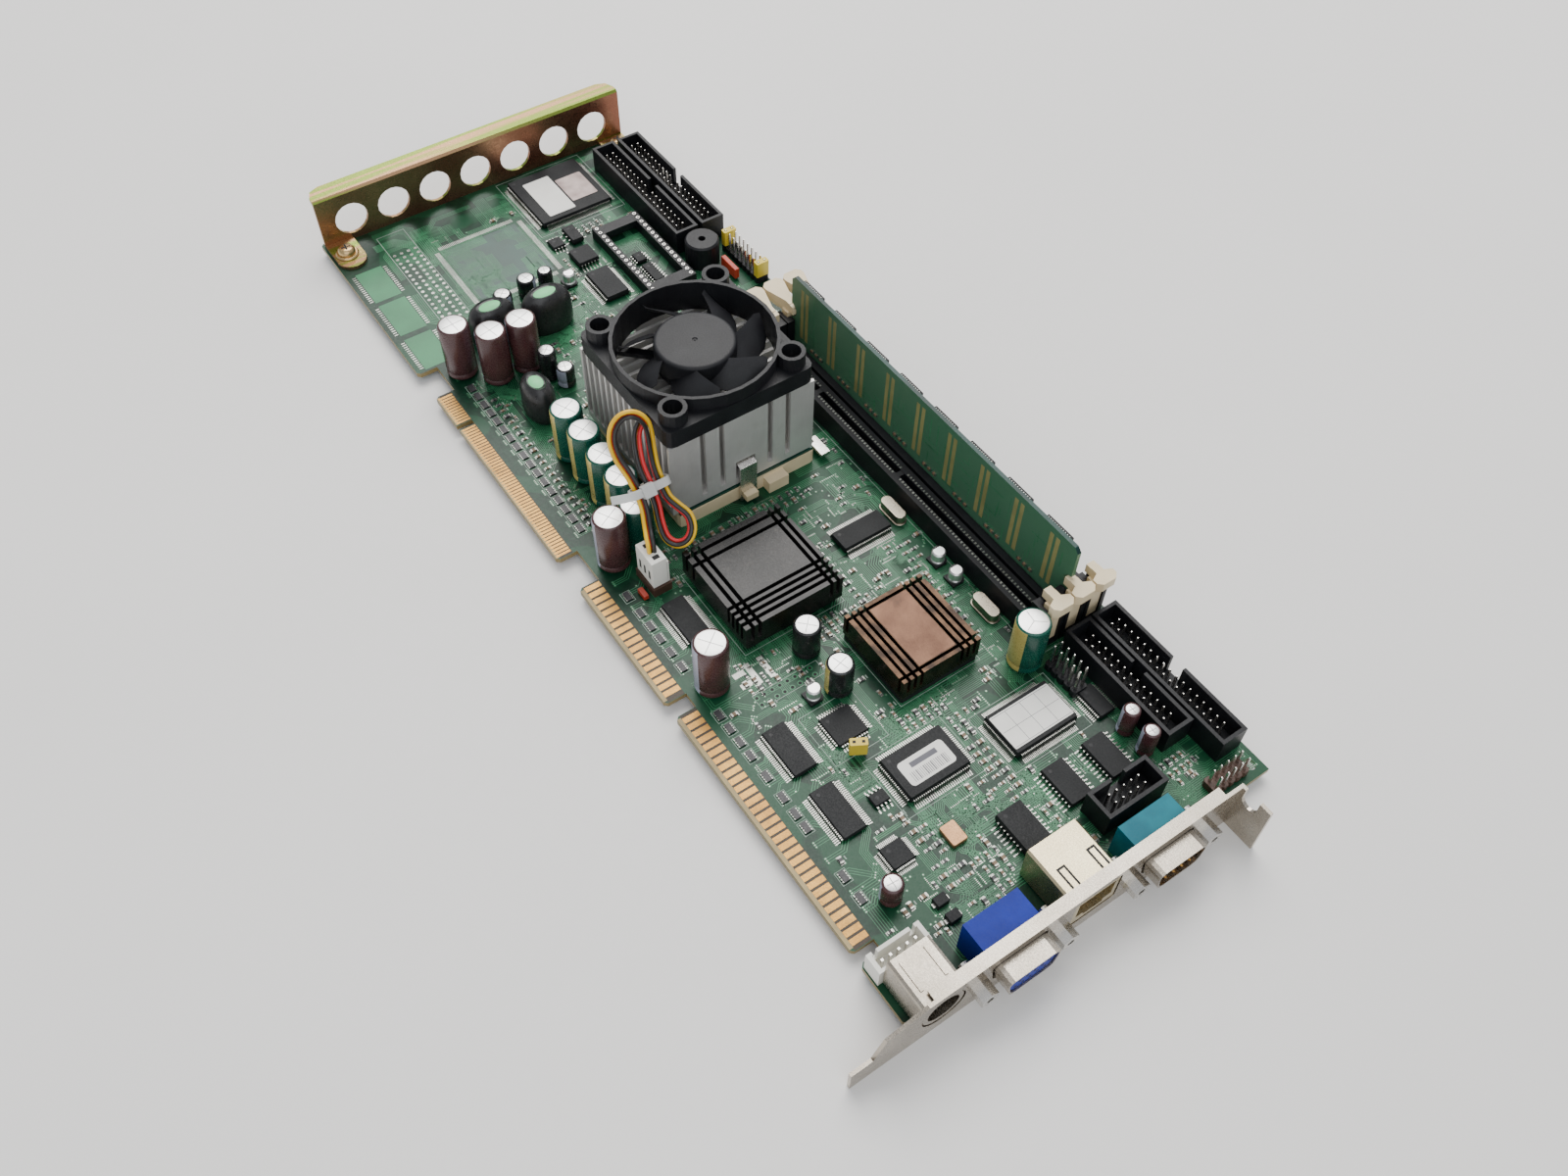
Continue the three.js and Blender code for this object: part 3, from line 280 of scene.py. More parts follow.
# ---------------------------------------------------------------- solid builder
class Piece:
    """Closed solids drawn in the board's millimetres and collected into one mesh."""

    def __init__(self, material):
        self.points = []
        self.faces = []
        self.slots = []
        self.materials = [material]
        self.current = 0
        self.frame = Matrix.Identity(4)

    def use(self, material):
        if material not in self.materials:
            self.materials.append(material)
        self.current = self.materials.index(material)
        return self

    def place(self, x=0.0, y=0.0, z=0.0, turn=0.0, pitch=0.0):
        """Later solids are drawn turned about z (after a turn about y) and moved to this point."""
        about_z = Matrix.Rotation(math.radians(turn), 4, "Z")
        about_y = Matrix.Rotation(math.radians(pitch), 4, "Y")
        self.frame = Matrix.Translation((x, y, z)) @ about_z @ about_y
        return self

    def add(self, points, faces, slots=None):
        base = len(self.points)
        self.points += [self.frame @ Vector(p) for p in points]
        self.faces += [[base + i for i in face] for face in faces]
        self.slots += slots or [self.current] * len(faces)

    def box(self, x0, x1, y0, y1, z0, z1):
        self.loft([[(x0, y0, z), (x1, y0, z), (x1, y1, z), (x0, y1, z)] for z in (z0, z1)])

    def loft(self, rings, closed=False):
        count = len(rings[0])
        points = [p for ring in rings for p in ring]
        faces = []
        spans = len(rings) if closed else len(rings) - 1
        for k in range(spans):
            low, high = k * count, ((k + 1) % len(rings)) * count
            for i in range(count):
                j = (i + 1) % count
                faces.append((low + i, low + j, high + j, high + i))
        if not closed:
            last = (len(rings) - 1) * count
            faces += [tuple(reversed(range(count))), tuple(range(last, last + count))]
        self.add(points, faces)

    def prism(self, outline, z0, z1):
        self.loft([[(x, y, z) for x, y in outline] for z in (z0, z1)])

    def prism_x(self, outline, x0, x1):
        self.loft([[(x, y, z) for y, z in outline] for x in (x0, x1)])

    def prism_y(self, outline, y0, y1):
        self.loft([[(x, y, z) for x, z in outline] for y in (y1, y0)])

    def lathe(self, profile, sides=32, scale=(1.0, 1.0), stripe=None):
        """Turns [radius, z] points, which start and end on the axis. A stripe is
        (material, from degrees, to degrees, lowest z, highest z) on the side."""
        points, index = [], []
        for radius, z in profile:
            if radius == 0:
                index.append([len(points)])
                points.append((0, 0, z))
                continue
            index.append(list(range(len(points), len(points) + sides)))
            for i in range(sides):
                angle = 2 * math.pi * i / sides
                points.append((scale[0] * radius * math.cos(angle), scale[1] * radius * math.sin(angle), z))
        faces, slots = [], []
        plain = self.current
        if stripe:
            self.use(stripe[0])
            striped = self.current
            self.current = plain
        for k in range(len(profile) - 1):
            low, high = index[k], index[k + 1]
            for i in range(sides):
                j = (i + 1) % sides
                face = [low[i % len(low)], low[j % len(low)], high[j % len(high)], high[i % len(high)]]
                faces.append(tuple(dict.fromkeys(face)))
                slot = plain
                if stripe and stripe[1] <= 360 * (i + 0.5) / sides <= stripe[2]:
                    if min(profile[k][1], profile[k + 1][1]) >= stripe[3]:
                        if max(profile[k][1], profile[k + 1][1]) <= stripe[4]:
                            slot = striped
                slots.append(slot)
        self.add(points, faces, slots)

    def sweep(self, path, section, closed=False, up=(0, 0, 1)):
        """Carries a flat section along a path without twisting it."""
        path = [Vector(p) for p in path]
        count = len(path)
        side = None
        rings = []
        for i, point in enumerate(path):
            before = path[(i - 1) % count] if closed or i > 0 else point
            after = path[(i + 1) % count] if closed or i < count - 1 else point
            along = (after - before).normalized()
            if side is None:
                side = along.cross(Vector(up)).normalized()
            side = (side - along * side.dot(along)).normalized()
            lift = side.cross(along)
            rings.append([tuple(point + side * u + lift * v) for u, v in section])
        self.loft(rings, closed)

    def tube(self, path, radius, sides=8, up=(0, 0, 1)):
        self.sweep(path, ring_outline(radius, sides), up=up)

    def strip(self, path, width, z0, z1):
        """A thin flat strip along a path in plan, mitred at its bends."""
        half = width / 2
        left, right = [], []
        for i, (x, y) in enumerate(path):
            before = Vector(path[i]) - Vector(path[i - 1]) if i > 0 else None
            after = Vector(path[i + 1]) - Vector(path[i]) if i < len(path) - 1 else None
            first = (before or after).normalized()
            second = (after or before).normalized()
            mean = (first + second).normalized()
            reach = half / max(0.5, mean.dot(first))
            left.append((x - mean.y * reach, y + mean.x * reach))
            right.append((x + mean.y * reach, y - mean.x * reach))
        rings = [[(*l, z0), (*r, z0), (*r, z1), (*l, z1)] for l, r in zip(left, right)]
        self.loft(rings)

    def build(self, name, body="board", bevel=0.0, angle=32.0):
        mesh = bpy.data.meshes.new(name)
        mesh.from_pydata([at(*p) for p in self.points], [], self.faces)
        for material in self.materials:
            mesh.materials.append(material)
        mesh.polygons.foreach_set("material_index", self.slots)
        solid = bmesh.new()
        solid.from_mesh(mesh)
        bmesh.ops.recalc_face_normals(solid, faces=solid.faces)
        solid.to_mesh(mesh)
        solid.free()
        piece = bpy.data.objects.new(name, mesh)
        bpy.context.scene.collection.objects.link(piece)
        soften(piece, bevel, angle)
        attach(piece, body)
        return piece


def soften(piece, bevel, angle=32.0):
    """Smooth shading up to an angle, and a small rounded edge past it."""
    mesh = piece.data
    mesh.polygons.foreach_set("use_smooth", [True] * len(mesh.polygons))
    mesh.set_sharp_from_angle(angle=math.radians(angle))
    if bevel:
        modifier = piece.modifiers.new("edge", "BEVEL")
        modifier.width = bevel * MM
        modifier.segments = 2
        modifier.limit_method = "ANGLE"
        modifier.angle_limit = math.radians(angle)
        modifier.harden_normals = True


def ring_outline(radius, sides, x=0.0, y=0.0):
    step = 2 * math.pi / sides
    return [(x + radius * math.cos(i * step), y + radius * math.sin(i * step)) for i in range(sides)]


def rounded(x0, x1, y0, y1, radius, steps=4):
    outline = []
    for cx, cy, start in ((x1 - radius, y1 - radius, 0), (x0 + radius, y1 - radius, 90),
                          (x0 + radius, y0 + radius, 180), (x1 - radius, y0 + radius, 270)):
        for i in range(steps + 1):
            angle = math.radians(start + 90 * i / steps)
            outline.append((cx + radius * math.cos(angle), cy + radius * math.sin(angle)))
    return outline


def rectangle(x0, x1, y0, y1):
    return [(x0, y0), (x1, y0), (x1, y1), (x0, y1)]


def dress(material, slot, bevel, *nodes):
    """Gives kept CAD nodes their finish and softened edges."""
    for node in nodes:
        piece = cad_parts[node]
        piece.data.materials.clear()
        piece.data.materials.append(material)
        soften(piece, bevel)


# ---------------------------------------------------------------- fan lead
LEAD_ROUTE = [
    (0.1700, 0.0340, 0.0384), (0.1700, 0.0324, 0.0384), (0.1716, 0.0297, 0.0356), (0.1769, 0.0274, 0.0306),
    (0.1818, 0.0272, 0.0254), (0.1850, 0.0270, 0.0214), (0.1884, 0.0260, 0.0172), (0.1916, 0.0258, 0.0138),
    (0.1944, 0.0274, 0.0126), (0.1958, 0.0302, 0.0136), (0.1946, 0.0328, 0.0158), (0.1916, 0.0336, 0.0184),
    (0.1882, 0.0322, 0.0202), (0.1850, 0.0310, 0.0218), (0.1818, 0.0308, 0.0254), (0.1788, 0.0309, 0.0294),
    (0.1764, 0.0316, 0.0340), (0.1752, 0.0319, 0.0390), (0.1746, 0.0312, 0.0435), (0.1734, 0.0288, 0.0466),
    (0.1722, 0.0256, 0.0464), (0.1718, 0.0230, 0.0432), (0.1726, 0.0218, 0.0386), (0.1748, 0.0220, 0.0338),
    (0.1780, 0.0230, 0.0299), (0.1818, 0.0236, 0.0254), (0.1852, 0.0232, 0.0214), (0.1890, 0.0216, 0.0186),
    (0.1922, 0.0202, 0.0176), (0.1937, 0.0197, 0.0164), (0.1938, 0.0197, 0.0142),
]
WIRE_DIAMETER = 0.00128
STRAND_OFFSET = 0.00092
STRAND_TWIST = 0.012


def smooth_route(route, steps=4):
    """Points on a Catmull-Rom curve through a route."""
    points = [Vector(p) for p in route]
    out = []
    for i in range(len(points) - 1):
        before = points[max(i - 1, 0)]
        start, end = points[i], points[i + 1]
        after = points[min(i + 2, len(points) - 1)]
        for k in range(steps):
            t = k / steps
            square = (2 * before - 5 * start + 4 * end - after) * t ** 2
            cube = (3 * start - before - 3 * end + after) * t ** 3
            out.append(0.5 * (2 * start + (end - before) * t + square + cube))
    out.append(points[-1])
    return out


def lead_strand(offset, turn):
    """The route moved sideways by `offset` metres, at `turn` radians round it with a slow twist."""
    centre = smooth_route(LEAD_ROUTE)
    side = Vector((0, 0, 1))
    out = []
    for i, point in enumerate(centre):
        along = (centre[min(i + 1, len(centre) - 1)] - centre[max(i - 1, 0)]).normalized()
        side = (side - along * side.dot(along)).normalized()
        lift = side.cross(along)
        angle = turn + STRAND_TWIST * i
        out.append(ORIGIN + point + (side * math.cos(angle) + lift * math.sin(angle)) * offset)
    return out


def wire(name, turn, material):
    points = lead_strand(STRAND_OFFSET, turn)
    curve = bpy.data.curves.new(name, "CURVE")
    curve.dimensions = "3D"
    curve.bevel_depth = WIRE_DIAMETER / 2
    curve.bevel_resolution = 3
    curve.use_fill_caps = True
    spline = curve.splines.new("POLY")
    spline.points.add(len(points) - 1)
    for target, point in zip(spline.points, points):
        target.co = (*point, 1.0)
    spline.use_smooth = True
    curve.materials.append(material)
    piece = bpy.data.objects.new(name, curve)
    bpy.context.scene.collection.objects.link(piece)
    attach(piece, "board")
    length = sum((points[i + 1] - points[i]).length for i in range(len(points) - 1))
    return piece, points[0], length


def cable_tie():
    """A nylon strap round the three strands, with its square head and a cut tail."""
    tie = Piece(NYLON)
    tie.place(181.8, 27.2, 25.4, pitch=math.degrees(-0.67))
    loop = [(x, y, 0) for x, y in rounded(-2.35, 2.35, -5.9, 5.9, 1.5, 5)]
    tie.sweep(loop, rectangle(-1.3, 1.3, -0.3, 0.3)[::-1], closed=True, up=(1, 0, 0))
    tie.box(1.9, 4.2, -3.6, 0.2, -1.9, 1.9)
    tail = [(3.2, -3.4, 0), (3.4, -6.2, 0.3), (2.6, -9.4, 0.9), (0.8, -12.2, 1.4)]
    tie.sweep(tail, rectangle(-1.2, 1.2, -0.3, 0.3), up=(1, 0, 0))
    return tie.build("fan_lead_tie", bevel=0.12)


def fan_plug():
    """The nylon plug on its three-pin base."""
    plug = Piece(WHITE)
    plug.place(193.8, 19.7)
    plug.box(-4.5, 4.5, -2.7, 2.2, 3.5, 14.2)
    plug.box(-4.5, -2.9, 2.0, 2.7, 3.5, 12.4)
    plug.box(2.9, 4.5, 2.0, 2.7, 3.5, 12.4)
    # Near-black patches on the pin openings in the top and the windows in the front: painted shade.
    plug.use(HOLE_SHADE)
    for x in (-2.54, 0, 2.54):
        plug.box(x - 0.75, x + 0.75, -1.2, 0.9, 14.15, 14.22)
        plug.box(x - 0.5, x + 0.5, -2.72, -2.6, 6.0, 9.6)
    return plug.build("fan_lead_plug", bevel=0.15)


tie_piece = cable_tie()
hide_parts("cable_tie")
plug_piece = fan_plug()
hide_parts("fan_plug")
for wire_name, wire_turn, wire_material in (
        ("fan_wire_red", 1.9, WIRE_RED), ("fan_wire_yellow", 3.994, WIRE_YELLOW),
        ("fan_wire_black", 6.088, WIRE_BLACK)):
    wire(wire_name, wire_turn, wire_material)
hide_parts("fan_lead")


# ---------------------------------------------------------------- kept CAD nodes
dress(PCB, "green_board", 0.08, "circuit_board")
dress(MODULE_PCB, "green_board", 0.08, "memory_module")
dress(DEEP_MASK, "green_board", 0.1, "cpu_package")
dress(ZINC, "zinc_plate", 0.25, "card_retainer")
dress(NICKEL, "nickel_plate", 0.15, "io_bracket", "ps2_port", "vga_shell", "com_shell")
dress(LAN_TIN, "nickel_plate", 0.15, "lan_jack")
dress(STEEL, "bright_steel", 0.2, "vga_jackscrew_1", "vga_jackscrew_2", "com_jackscrew_1", "com_jackscrew_2",
      "socket_lever", "heatsink_clip")
dress(WHITE, "white_plastic", 0.15, "keyboard_header")
dress(BLUE, "blue_plastic", 0.2, "vga_body")
dress(TEAL, "teal_plastic", 0.2, "com_body")
dress(BROWN, "brown_plastic", 0.12, "fan_header")
dress(BLACK, "black_plastic", 0.15, "com2_header", "parallel_header", "floppy_header", "ide_header_inner",
      "ide_header_outer", "flash_socket", "dimm_socket_1", "dimm_socket_2", "dimm_socket_3")
dress(BLACK, "black_plastic", 0.3, "buzzer")
dress(FAN_BLACK, "black_plastic", 0.35, "fan_frame")
dress(CREAM, "cream_plastic", 0.2, "cpu_socket")
LATCHES = [f"dimm_latch_{end}_{i}" for end in ("near", "far") for i in (1, 2, 3)]
dress(CREAM, "cream_plastic", 0.08, *LATCHES)
dress(ALUMINIUM, "aluminium_fins", 0.08, "cpu_heatsink")
dress(BLACK_ANODISED, "black_anodised", 0.18, "northbridge_heatsink")
dress(BRONZE_FIN_SHADED, "bronze_anodised", 0.18, "graphics_heatsink")
dress(EPOXY, "chip_epoxy", 0.12, "northbridge_chip", "graphics_chip")


# ---------------------------------------------------------------- fan rotor and screws
FAN_X, FAN_Y = 156, 59.6
FAN_SCREW_PITCH = 20


def fan_rotor():
    """A hub with seven swept blades."""
    rotor = Piece(FAN_BLACK)
    rotor.place(FAN_X, FAN_Y)
    rotor.lathe([(0, 37.5), (11.6, 37.5), (12.2, 38.2), (12.2, 43.8), (12.0, 44.35), (11.5, 44.7),
                 (10.9, 44.8), (0.8, 44.8), (0.6, 44.5), (0.35, 44.5), (0.2, 44.7), (0, 44.7)], 64)
    count, stations, chord = 7, 7, 8
    for blade in range(count):
        rings = []
        for s in range(stations):
            t = s / (stations - 1)
            radius = 11.6 + 10.6 * t
            centre = 2 * math.pi * blade / count + 0.55 * t
            reach = (3.9 + 1.2 * math.sin(math.pi * t)) / radius * (1 if t < 0.9 else 0.6)
            thick = 0.5 - 0.15 * t
            upper, lower = [], []
            for c in range(chord + 1):
                u = 2 * c / chord - 1
                angle = centre + u * reach
                z = 41.1 + u * 2.9 - 0.5 * (1 - u * u)
                x, y = radius * math.cos(angle), radius * math.sin(angle)
                edge = thick * (1 - 0.7 * u * u)
                upper.append((x, y, z + edge))
                lower.append((x, y, z - edge))
            rings.append(lower + upper[::-1])
        rotor.loft(rings)
    piece = rotor.build("fan_rotor_blades", "rotor", angle=40)
    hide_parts("fan_rotor")


def cross_screw(name, material, x, y, head_z, head_top, radius, node, parts):
    """A pan head with a raised near-black cross standing for its recess, painted shade; parts are the lathe
    profiles below the head.
    """
    screw = Piece(material)
    screw.place(x, y, 0, turn=random.uniform(0, 90))
    for solid in parts:
        screw.lathe(solid, 40)
    rise = head_top - head_z
    screw.lathe([(0, head_z), (radius, head_z), (radius, head_z + 0.45 * rise),
                 (0.86 * radius, head_z + 0.8 * rise), (0.6 * radius, head_top), (0, head_top)], 32)
    # The cross recess is drawn as a raised near-black cross: painted shade.
    screw.use(HOLE_SHADE)
    arm, width = 0.52 * radius, 0.11 * radius
    cross = [(arm, -width), (arm, width), (width, width), (width, arm), (-width, arm), (-width, width),
             (-arm, width), (-arm, -width), (-width, -width), (-width, -arm), (width, -arm), (width, -width)]
    screw.prism(cross, head_top - 0.4, head_top + 0.02)
    piece = screw.build(name, bevel=0.05)
    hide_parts(node)


fan_rotor()
for i, (sx, sy) in enumerate(((-1, -1), (1, -1), (1, 1), (-1, 1))):
    cross_screw(f"fan_cross_screw_{i + 1}", STEEL, FAN_X + FAN_SCREW_PITCH * sx, FAN_Y + FAN_SCREW_PITCH * sy,
                38, 40, 2.5, f"fan_screw_{i + 1}", [[(0, 35.2), (1.2, 35.2), (1.2, 38.1), (0, 38.1)]])
for side, (sx, sy) in (("front", (11.2, 5.5)), ("rear", (9.5, 116.3))):
    cross_screw(f"retainer_cross_screw_{side}", YELLOW_ZINC, sx, sy, 2.0, 4.2, 3.0,
                f"retainer_screw_{side}", [
        [(0, 1.2), (4.0, 1.2), (4.0, 1.6), (3.6, 2.0), (0, 2.0)],
        [(0, -4.0), (1.4, -4.0), (1.4, 1.6), (0, 1.6)],
        [(0, -4.0), (2.6, -4.0), (3.1, -3.7), (3.1, -1.9), (2.6, -1.6), (0, -1.6)]])


# ---------------------------------------------------------------- capacitors and chokes
def capacitor(name, x, y, radius, top, sleeve, stripe, turn, vent, replaces=()):
    """An upright can in its sleeve; vent names the pattern scored in its top."""
    can = Piece(BLACK)
    can.place(x, y, 0, turn=turn)
    can.lathe([(0, 0.05), (radius - 0.7, 0.05), (radius - 0.5, 0.7), (0, 0.7)], 24)
    can.use(sleeve)
    wall = [(0, 0.5), (radius - 0.5, 0.5), (radius, 1.0), (radius, 1.9), (radius - 0.32, 2.5), (radius, 3.1),
            (radius, top - 1.0), (radius - 0.2, top - 0.4), (radius - 0.6, top - 0.1),
            (radius - 0.85, top - 0.2), (0, top - 0.25)]
    can.lathe(wall, 48, stripe=(stripe, 140, 220, 0.9, top - 0.3))
    can.use(CAN_TOP)
    can.lathe([(0, top - 0.5), (radius - 0.8, top - 0.5), (radius - 0.8, top - 0.16),
               (radius - 1.0, top - 0.1), (0, top - 0.1)], 40)
    # Vent scores: darker raised strips, painted shade in place of the grooves.
    can.use(VENT_GROOVE_SHADE)
    arms = {"Y": (90, 210, 330), "K": (60, 150, 240, 330), "X": (45, 135, 225, 315)}[vent]
    for degrees in arms:
        c, s = math.cos(math.radians(degrees)), math.sin(math.radians(degrees))
        outer = radius - 1.3
        can.strip([(0.05 * c, 0.05 * s), (outer * c, outer * s)], 0.22, top - 0.14, top - 0.07)
    piece = can.build(name)
    if replaces:
        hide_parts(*replaces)


BROWN_CANS = [(85, 13), (93.9, 21.5), (94.2, 32), (180.9, 13.8), (233.2, 14.2)]
for i, (x, y) in enumerate(BROWN_CANS):
    capacitor(f"capacitor_brown_{i + 1}", x, y, 5, 20.5, CAP_BROWN, CAP_GREY, turn=34 + 8 * i, vent="K")
for i, (x, y) in enumerate([(136.4, 24.8), (147.1, 24.8), (158.4, 24.8), (168.7, 24.8), (178, 23.9)]):
    height = 20 if i < 4 else 17
    capacitor(f"capacitor_green_{i + 1}", x, y, 5, height, CAP_GREEN, CAP_GOLD, turn=70, vent="X")
capacitor("capacitor_green_tall", 275.3, 90.6, 5, 19, CAP_GREEN, CAP_GOLD, turn=82, vent="Y",
          replaces=["capacitor_gold"])
SMALL_CANS = [(238.2, 42.3, 4, 12.5), (253.6, 42.3, 4, 12.5), (108.9, 38.4, 3, 8), (66.9, 37.9, 3.2, 8),
              (64.3, 48.2, 3.2, 8), (64.2, 55.4, 2.6, 8), (103, 35.4, 3, 12)]
for i, (x, y, radius, height) in enumerate(SMALL_CANS):
    capacitor(f"capacitor_small_{i + 1}", x, y, radius, height, CAP_BLACK, CAP_GOLD if i < 2 else CAP_GREY,
              turn=60 * i, vent="X")
SLIM_CANS = [(308.0, 98.2, 2.5, 11), (315.7, 98.1, 2.5, 11), (311, 16.5, 3, 9)]
for i, (x, y, radius, height) in enumerate(SLIM_CANS):
    capacitor(f"capacitor_slim_{i + 1}", x, y, radius, height, CAP_BROWN, CAP_GREY, turn=40, vent="X")


def surface_can(name, x, y, radius=2.1, height=5):
    """A surface-mount can on its square base, with a dark mark on its top."""
    can = Piece(BLACK)
    can.place(x, y)
    edge = radius + 0.3
    can.prism([(-edge, -edge), (edge, -edge), (edge, edge - 1), (edge - 1, edge), (1 - edge, edge),
               (-edge, edge - 1)], 0.05, 0.9)
    can.use(CAN_TOP)
    can.lathe([(0, 0.8), (radius, 0.8), (radius, 1.4), (radius - 0.25, 1.7), (radius, 2.0),
               (radius, height - 0.5), (radius - 0.4, height), (0, height)], 32)
    can.use(CAP_BLACK)
    can.prism([(radius * 0.9 * math.cos(math.radians(d)), radius * 0.9 * math.sin(math.radians(d)))
               for d in range(130, 231, 10)], height - 0.1, height + 0.03)
    can.build(name)


for i, (x, y) in enumerate([(252.2, 34.8), (234.1, 92.5), (242.3, 92.4), (66.9, 63)]):
    surface_can(f"surface_can_{i + 1}", x, y)


def choke(name, x, y, half_x, half_y, height, replaces=()):
    """A ring core on edge in black shrink sleeve, with the green core showing through the top."""
    core = Piece(SLEEVE_BLACK)
    core.place(x, y)
    core.lathe([(0, 0.05), (0.86, 0.05), (0.98, 1.4), (1.0, 0.3 * height), (0.97, 0.68 * height),
                (0.86, 0.86 * height), (0.70, 0.95 * height), (0.58, 0.99 * height), (0.50, 0.96 * height),
                (0, 0.93 * height)], 40, (half_x, half_y))
    core.use(CORE_GREEN)
    core.lathe([(0, 0.90 * height), (0.52, 0.90 * height), (0.50, 0.955 * height), (0.3, 0.985 * height),
                (0, 0.995 * height)], 32, (half_x * 0.8, half_y * 0.9))
    piece = core.build(name)
    if replaces:
        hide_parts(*replaces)


choke("choke_oval", 81.2, 47.1, 5.5, 9, 15, ["choke_large"])
choke("choke_oval_front", 115.4, 25.2, 7.5, 5, 14, ["choke_front"])
choke("choke_oval_edge", 76.2, 29.4, 5.5, 8.4, 14)


# ---------------------------------------------------------------- chips
def chip(name, x, y, size, height, leads, replaces=(), reach=1.3):
    """A moulded chip. Leads are (axis, count, pitch), and stand on the two sides across that axis."""
    body = Piece(EPOXY)
    body.place(x, y)
    draft = 0.25
    half_x, half_y = size[0] / 2, size[1] / 2
    mid = height * 0.55
    rings = []
    for z, inset in ((0.15, draft), (mid - 0.08, 0), (mid + 0.08, 0), (height, draft)):
        rings.append([(px, py, z) for px, py in rounded(-half_x + inset, half_x - inset, -half_y + inset,
                                                        half_y - inset, 0.35, 2)])
    body.loft(rings)
    body.use(BLACK)
    body.prism(ring_outline(0.55, 16, -half_x + 1.9, -half_y + 1.9), height - 0.1, height + 0.012)
    body.use(LEAD)
    for side, count, pitch in leads:
        width = min(0.42, pitch * 0.5)
        edge = half_x if side == "X" else half_y
        outline = [(edge - 0.1, mid - 0.08), (edge + 0.35, mid - 0.08), (edge + 0.55, 0.04),
                   (edge + reach, 0.04), (edge + reach, 0.22), (edge + 0.72, 0.22),
                   (edge + 0.5, mid + 0.1), (edge - 0.1, mid + 0.1)]
        for sign in (-1, 1):
            for i in range(count):
                along = (i - (count - 1) / 2) * pitch
                shape = [(sign * u, v) for u, v in outline]
                inner, outer = sorted((sign * (edge + 0.6), sign * (edge + reach + 0.7)))
                low, high = along - width / 2, along + width / 2
                if side == "X":
                    body.prism_y(shape, low, high)
                    body.box(inner, outer, low, high, 0.0, 0.05)
                else:
                    body.prism_x(shape, low, high)
                    body.box(low, high, inner, outer, 0.0, 0.05)
    piece = body.build(name)
    if replaces:
        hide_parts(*replaces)


def stickers():
    """Stickers with nothing to read: two blank ones, one ruled with bars and one with a grid."""
    bar_widths = (0.12, 0.2, 0.3)
    blank = Piece(LABEL)
    blank.prism(rounded(12.7, 34.0, 73.8, 84.3, 0.5), 2.25, 2.4)
    blank.use(LABEL_WORN)
    blank.prism(rounded(16.7, 30.7, 85.0, 95.3, 0.5), 2.25, 2.38)
    blank.build("bridge_chip_stickers")
    bars = Piece(LABEL)
    bars.place(286.3, 46.6, turn=90)
    bars.prism(rounded(-7.4, 7.4, -4.6, 3.2, 1.2), 3.05, 3.18)
    bars.use(LABEL_INK)
    for i in range(20):
        width = random.choice(bar_widths)
        bars.box(-5.8 + 0.6 * i, -5.8 + 0.6 * i + width, -3.8, -0.8, 3.1, 3.19)
    bars.box(-4.2, 4.4, 0.2, 1.8, 3.1, 3.19)
    bars.build("bus_chip_sticker")
    grid = Piece(LABEL)
    grid.place(291.6, 78.8)
    grid.prism(rounded(-5.7, 5.7, -10.2, 10.2, 0.4), 3.05, 3.18)
    grid.use(LABEL_INK)
    for y in (-5.1, 0, 5.1):
        grid.box(-5.2, 5.2, y - 0.06, y + 0.06, 3.1, 3.19)
    for x in (-5.2, 0, 5.2):
        grid.box(x - 0.06, x + 0.06, -9.8, 9.8, 3.1, 3.19)
    grid.build("io_chip_sticker")


chip("bridge_chip_body", 22.4, 83.7, (28, 28), 2.3, [("X", 52, 0.5), ("Y", 52, 0.5)], ["bridge_chip"])
chip("bus_chip_body", 286.3, 46.6, (14, 20), 3.1, [("X", 29, 0.65), ("Y", 20, 0.65)], ["bus_chip"], 1.5)
chip("io_chip_body", 291.6, 78.8, (14, 21.4), 3.1, [("X", 38, 0.5), ("Y", 26, 0.5)], ["io_chip"], 1.5)
stickers()
chip("clock_chip", 213.1, 80.0, (7.5, 17.2), 2.4, [("X", 26, 0.635)], reach=1.8)
for i, (x, y) in enumerate(((211.3, 19.6), (262.5, 19.6), (284.4, 19.6))):
    chip(f"buffer_chip_{i + 1}", x, y, (16.0, 7.4), 1.9, [("Y", 24, 0.635)], reach=1.5)
chip("logic_array", 264.5, 36.0, (10, 10), 1.6, [("X", 11, 0.8), ("Y", 11, 0.8)], reach=1.0)
chip("serial_driver_1", 311.6, 88.2, (12.8, 7.5), 2.4, [("Y", 10, 1.27)], reach=1.5)
chip("serial_driver_2", 311.6, 73.9, (12.8, 7.5), 2.4, [("Y", 10, 1.27)], reach=1.5)
chip("serial_driver_3", 297.0, 97.5, (10.2, 5.3), 1.9, [("Y", 14, 0.65)], reach=1.1)
chip("line_magnetics", 315.3, 55.7, (12.7, 8.4), 3.4, [("Y", 8, 1.27)], reach=1.6)
chip("eight_pin_1", 287.4, 30.7, (3.9, 4.9), 1.5, [("X", 4, 1.27)], reach=1.0)
chip("sound_chip", 302.7, 24.9, (7, 7), 1.5, [("X", 12, 0.5), ("Y", 12, 0.5)], reach=0.9)
chip("battery_chip", 46.5, 69.1, (5.2, 4.9), 1.5, [("X", 4, 1.27)], reach=1.0)
chip("regulator_chip_1", 45.7, 76.2, (8.6, 4.6), 2.2, [("Y", 3, 2.3)], reach=1.0)
chip("regulator_chip_2", 58.2, 73.6, (8.4, 8.0), 2.4, [("X", 6, 1.27)], reach=1.6)
chip("drive_logic_chip", 75.3, 73.2, (15.4, 8.6), 2.4, [("Y", 20, 0.75)], reach=1.4)
chip("latch_chip_1", 78.6, 89.6, (9.9, 3.9), 1.5, [("Y", 8, 1.27)], reach=1.0)
chip("latch_chip_2", 69.3, 89.6, (5.0, 3.9), 1.5, [("Y", 4, 1.27)], reach=1.0)


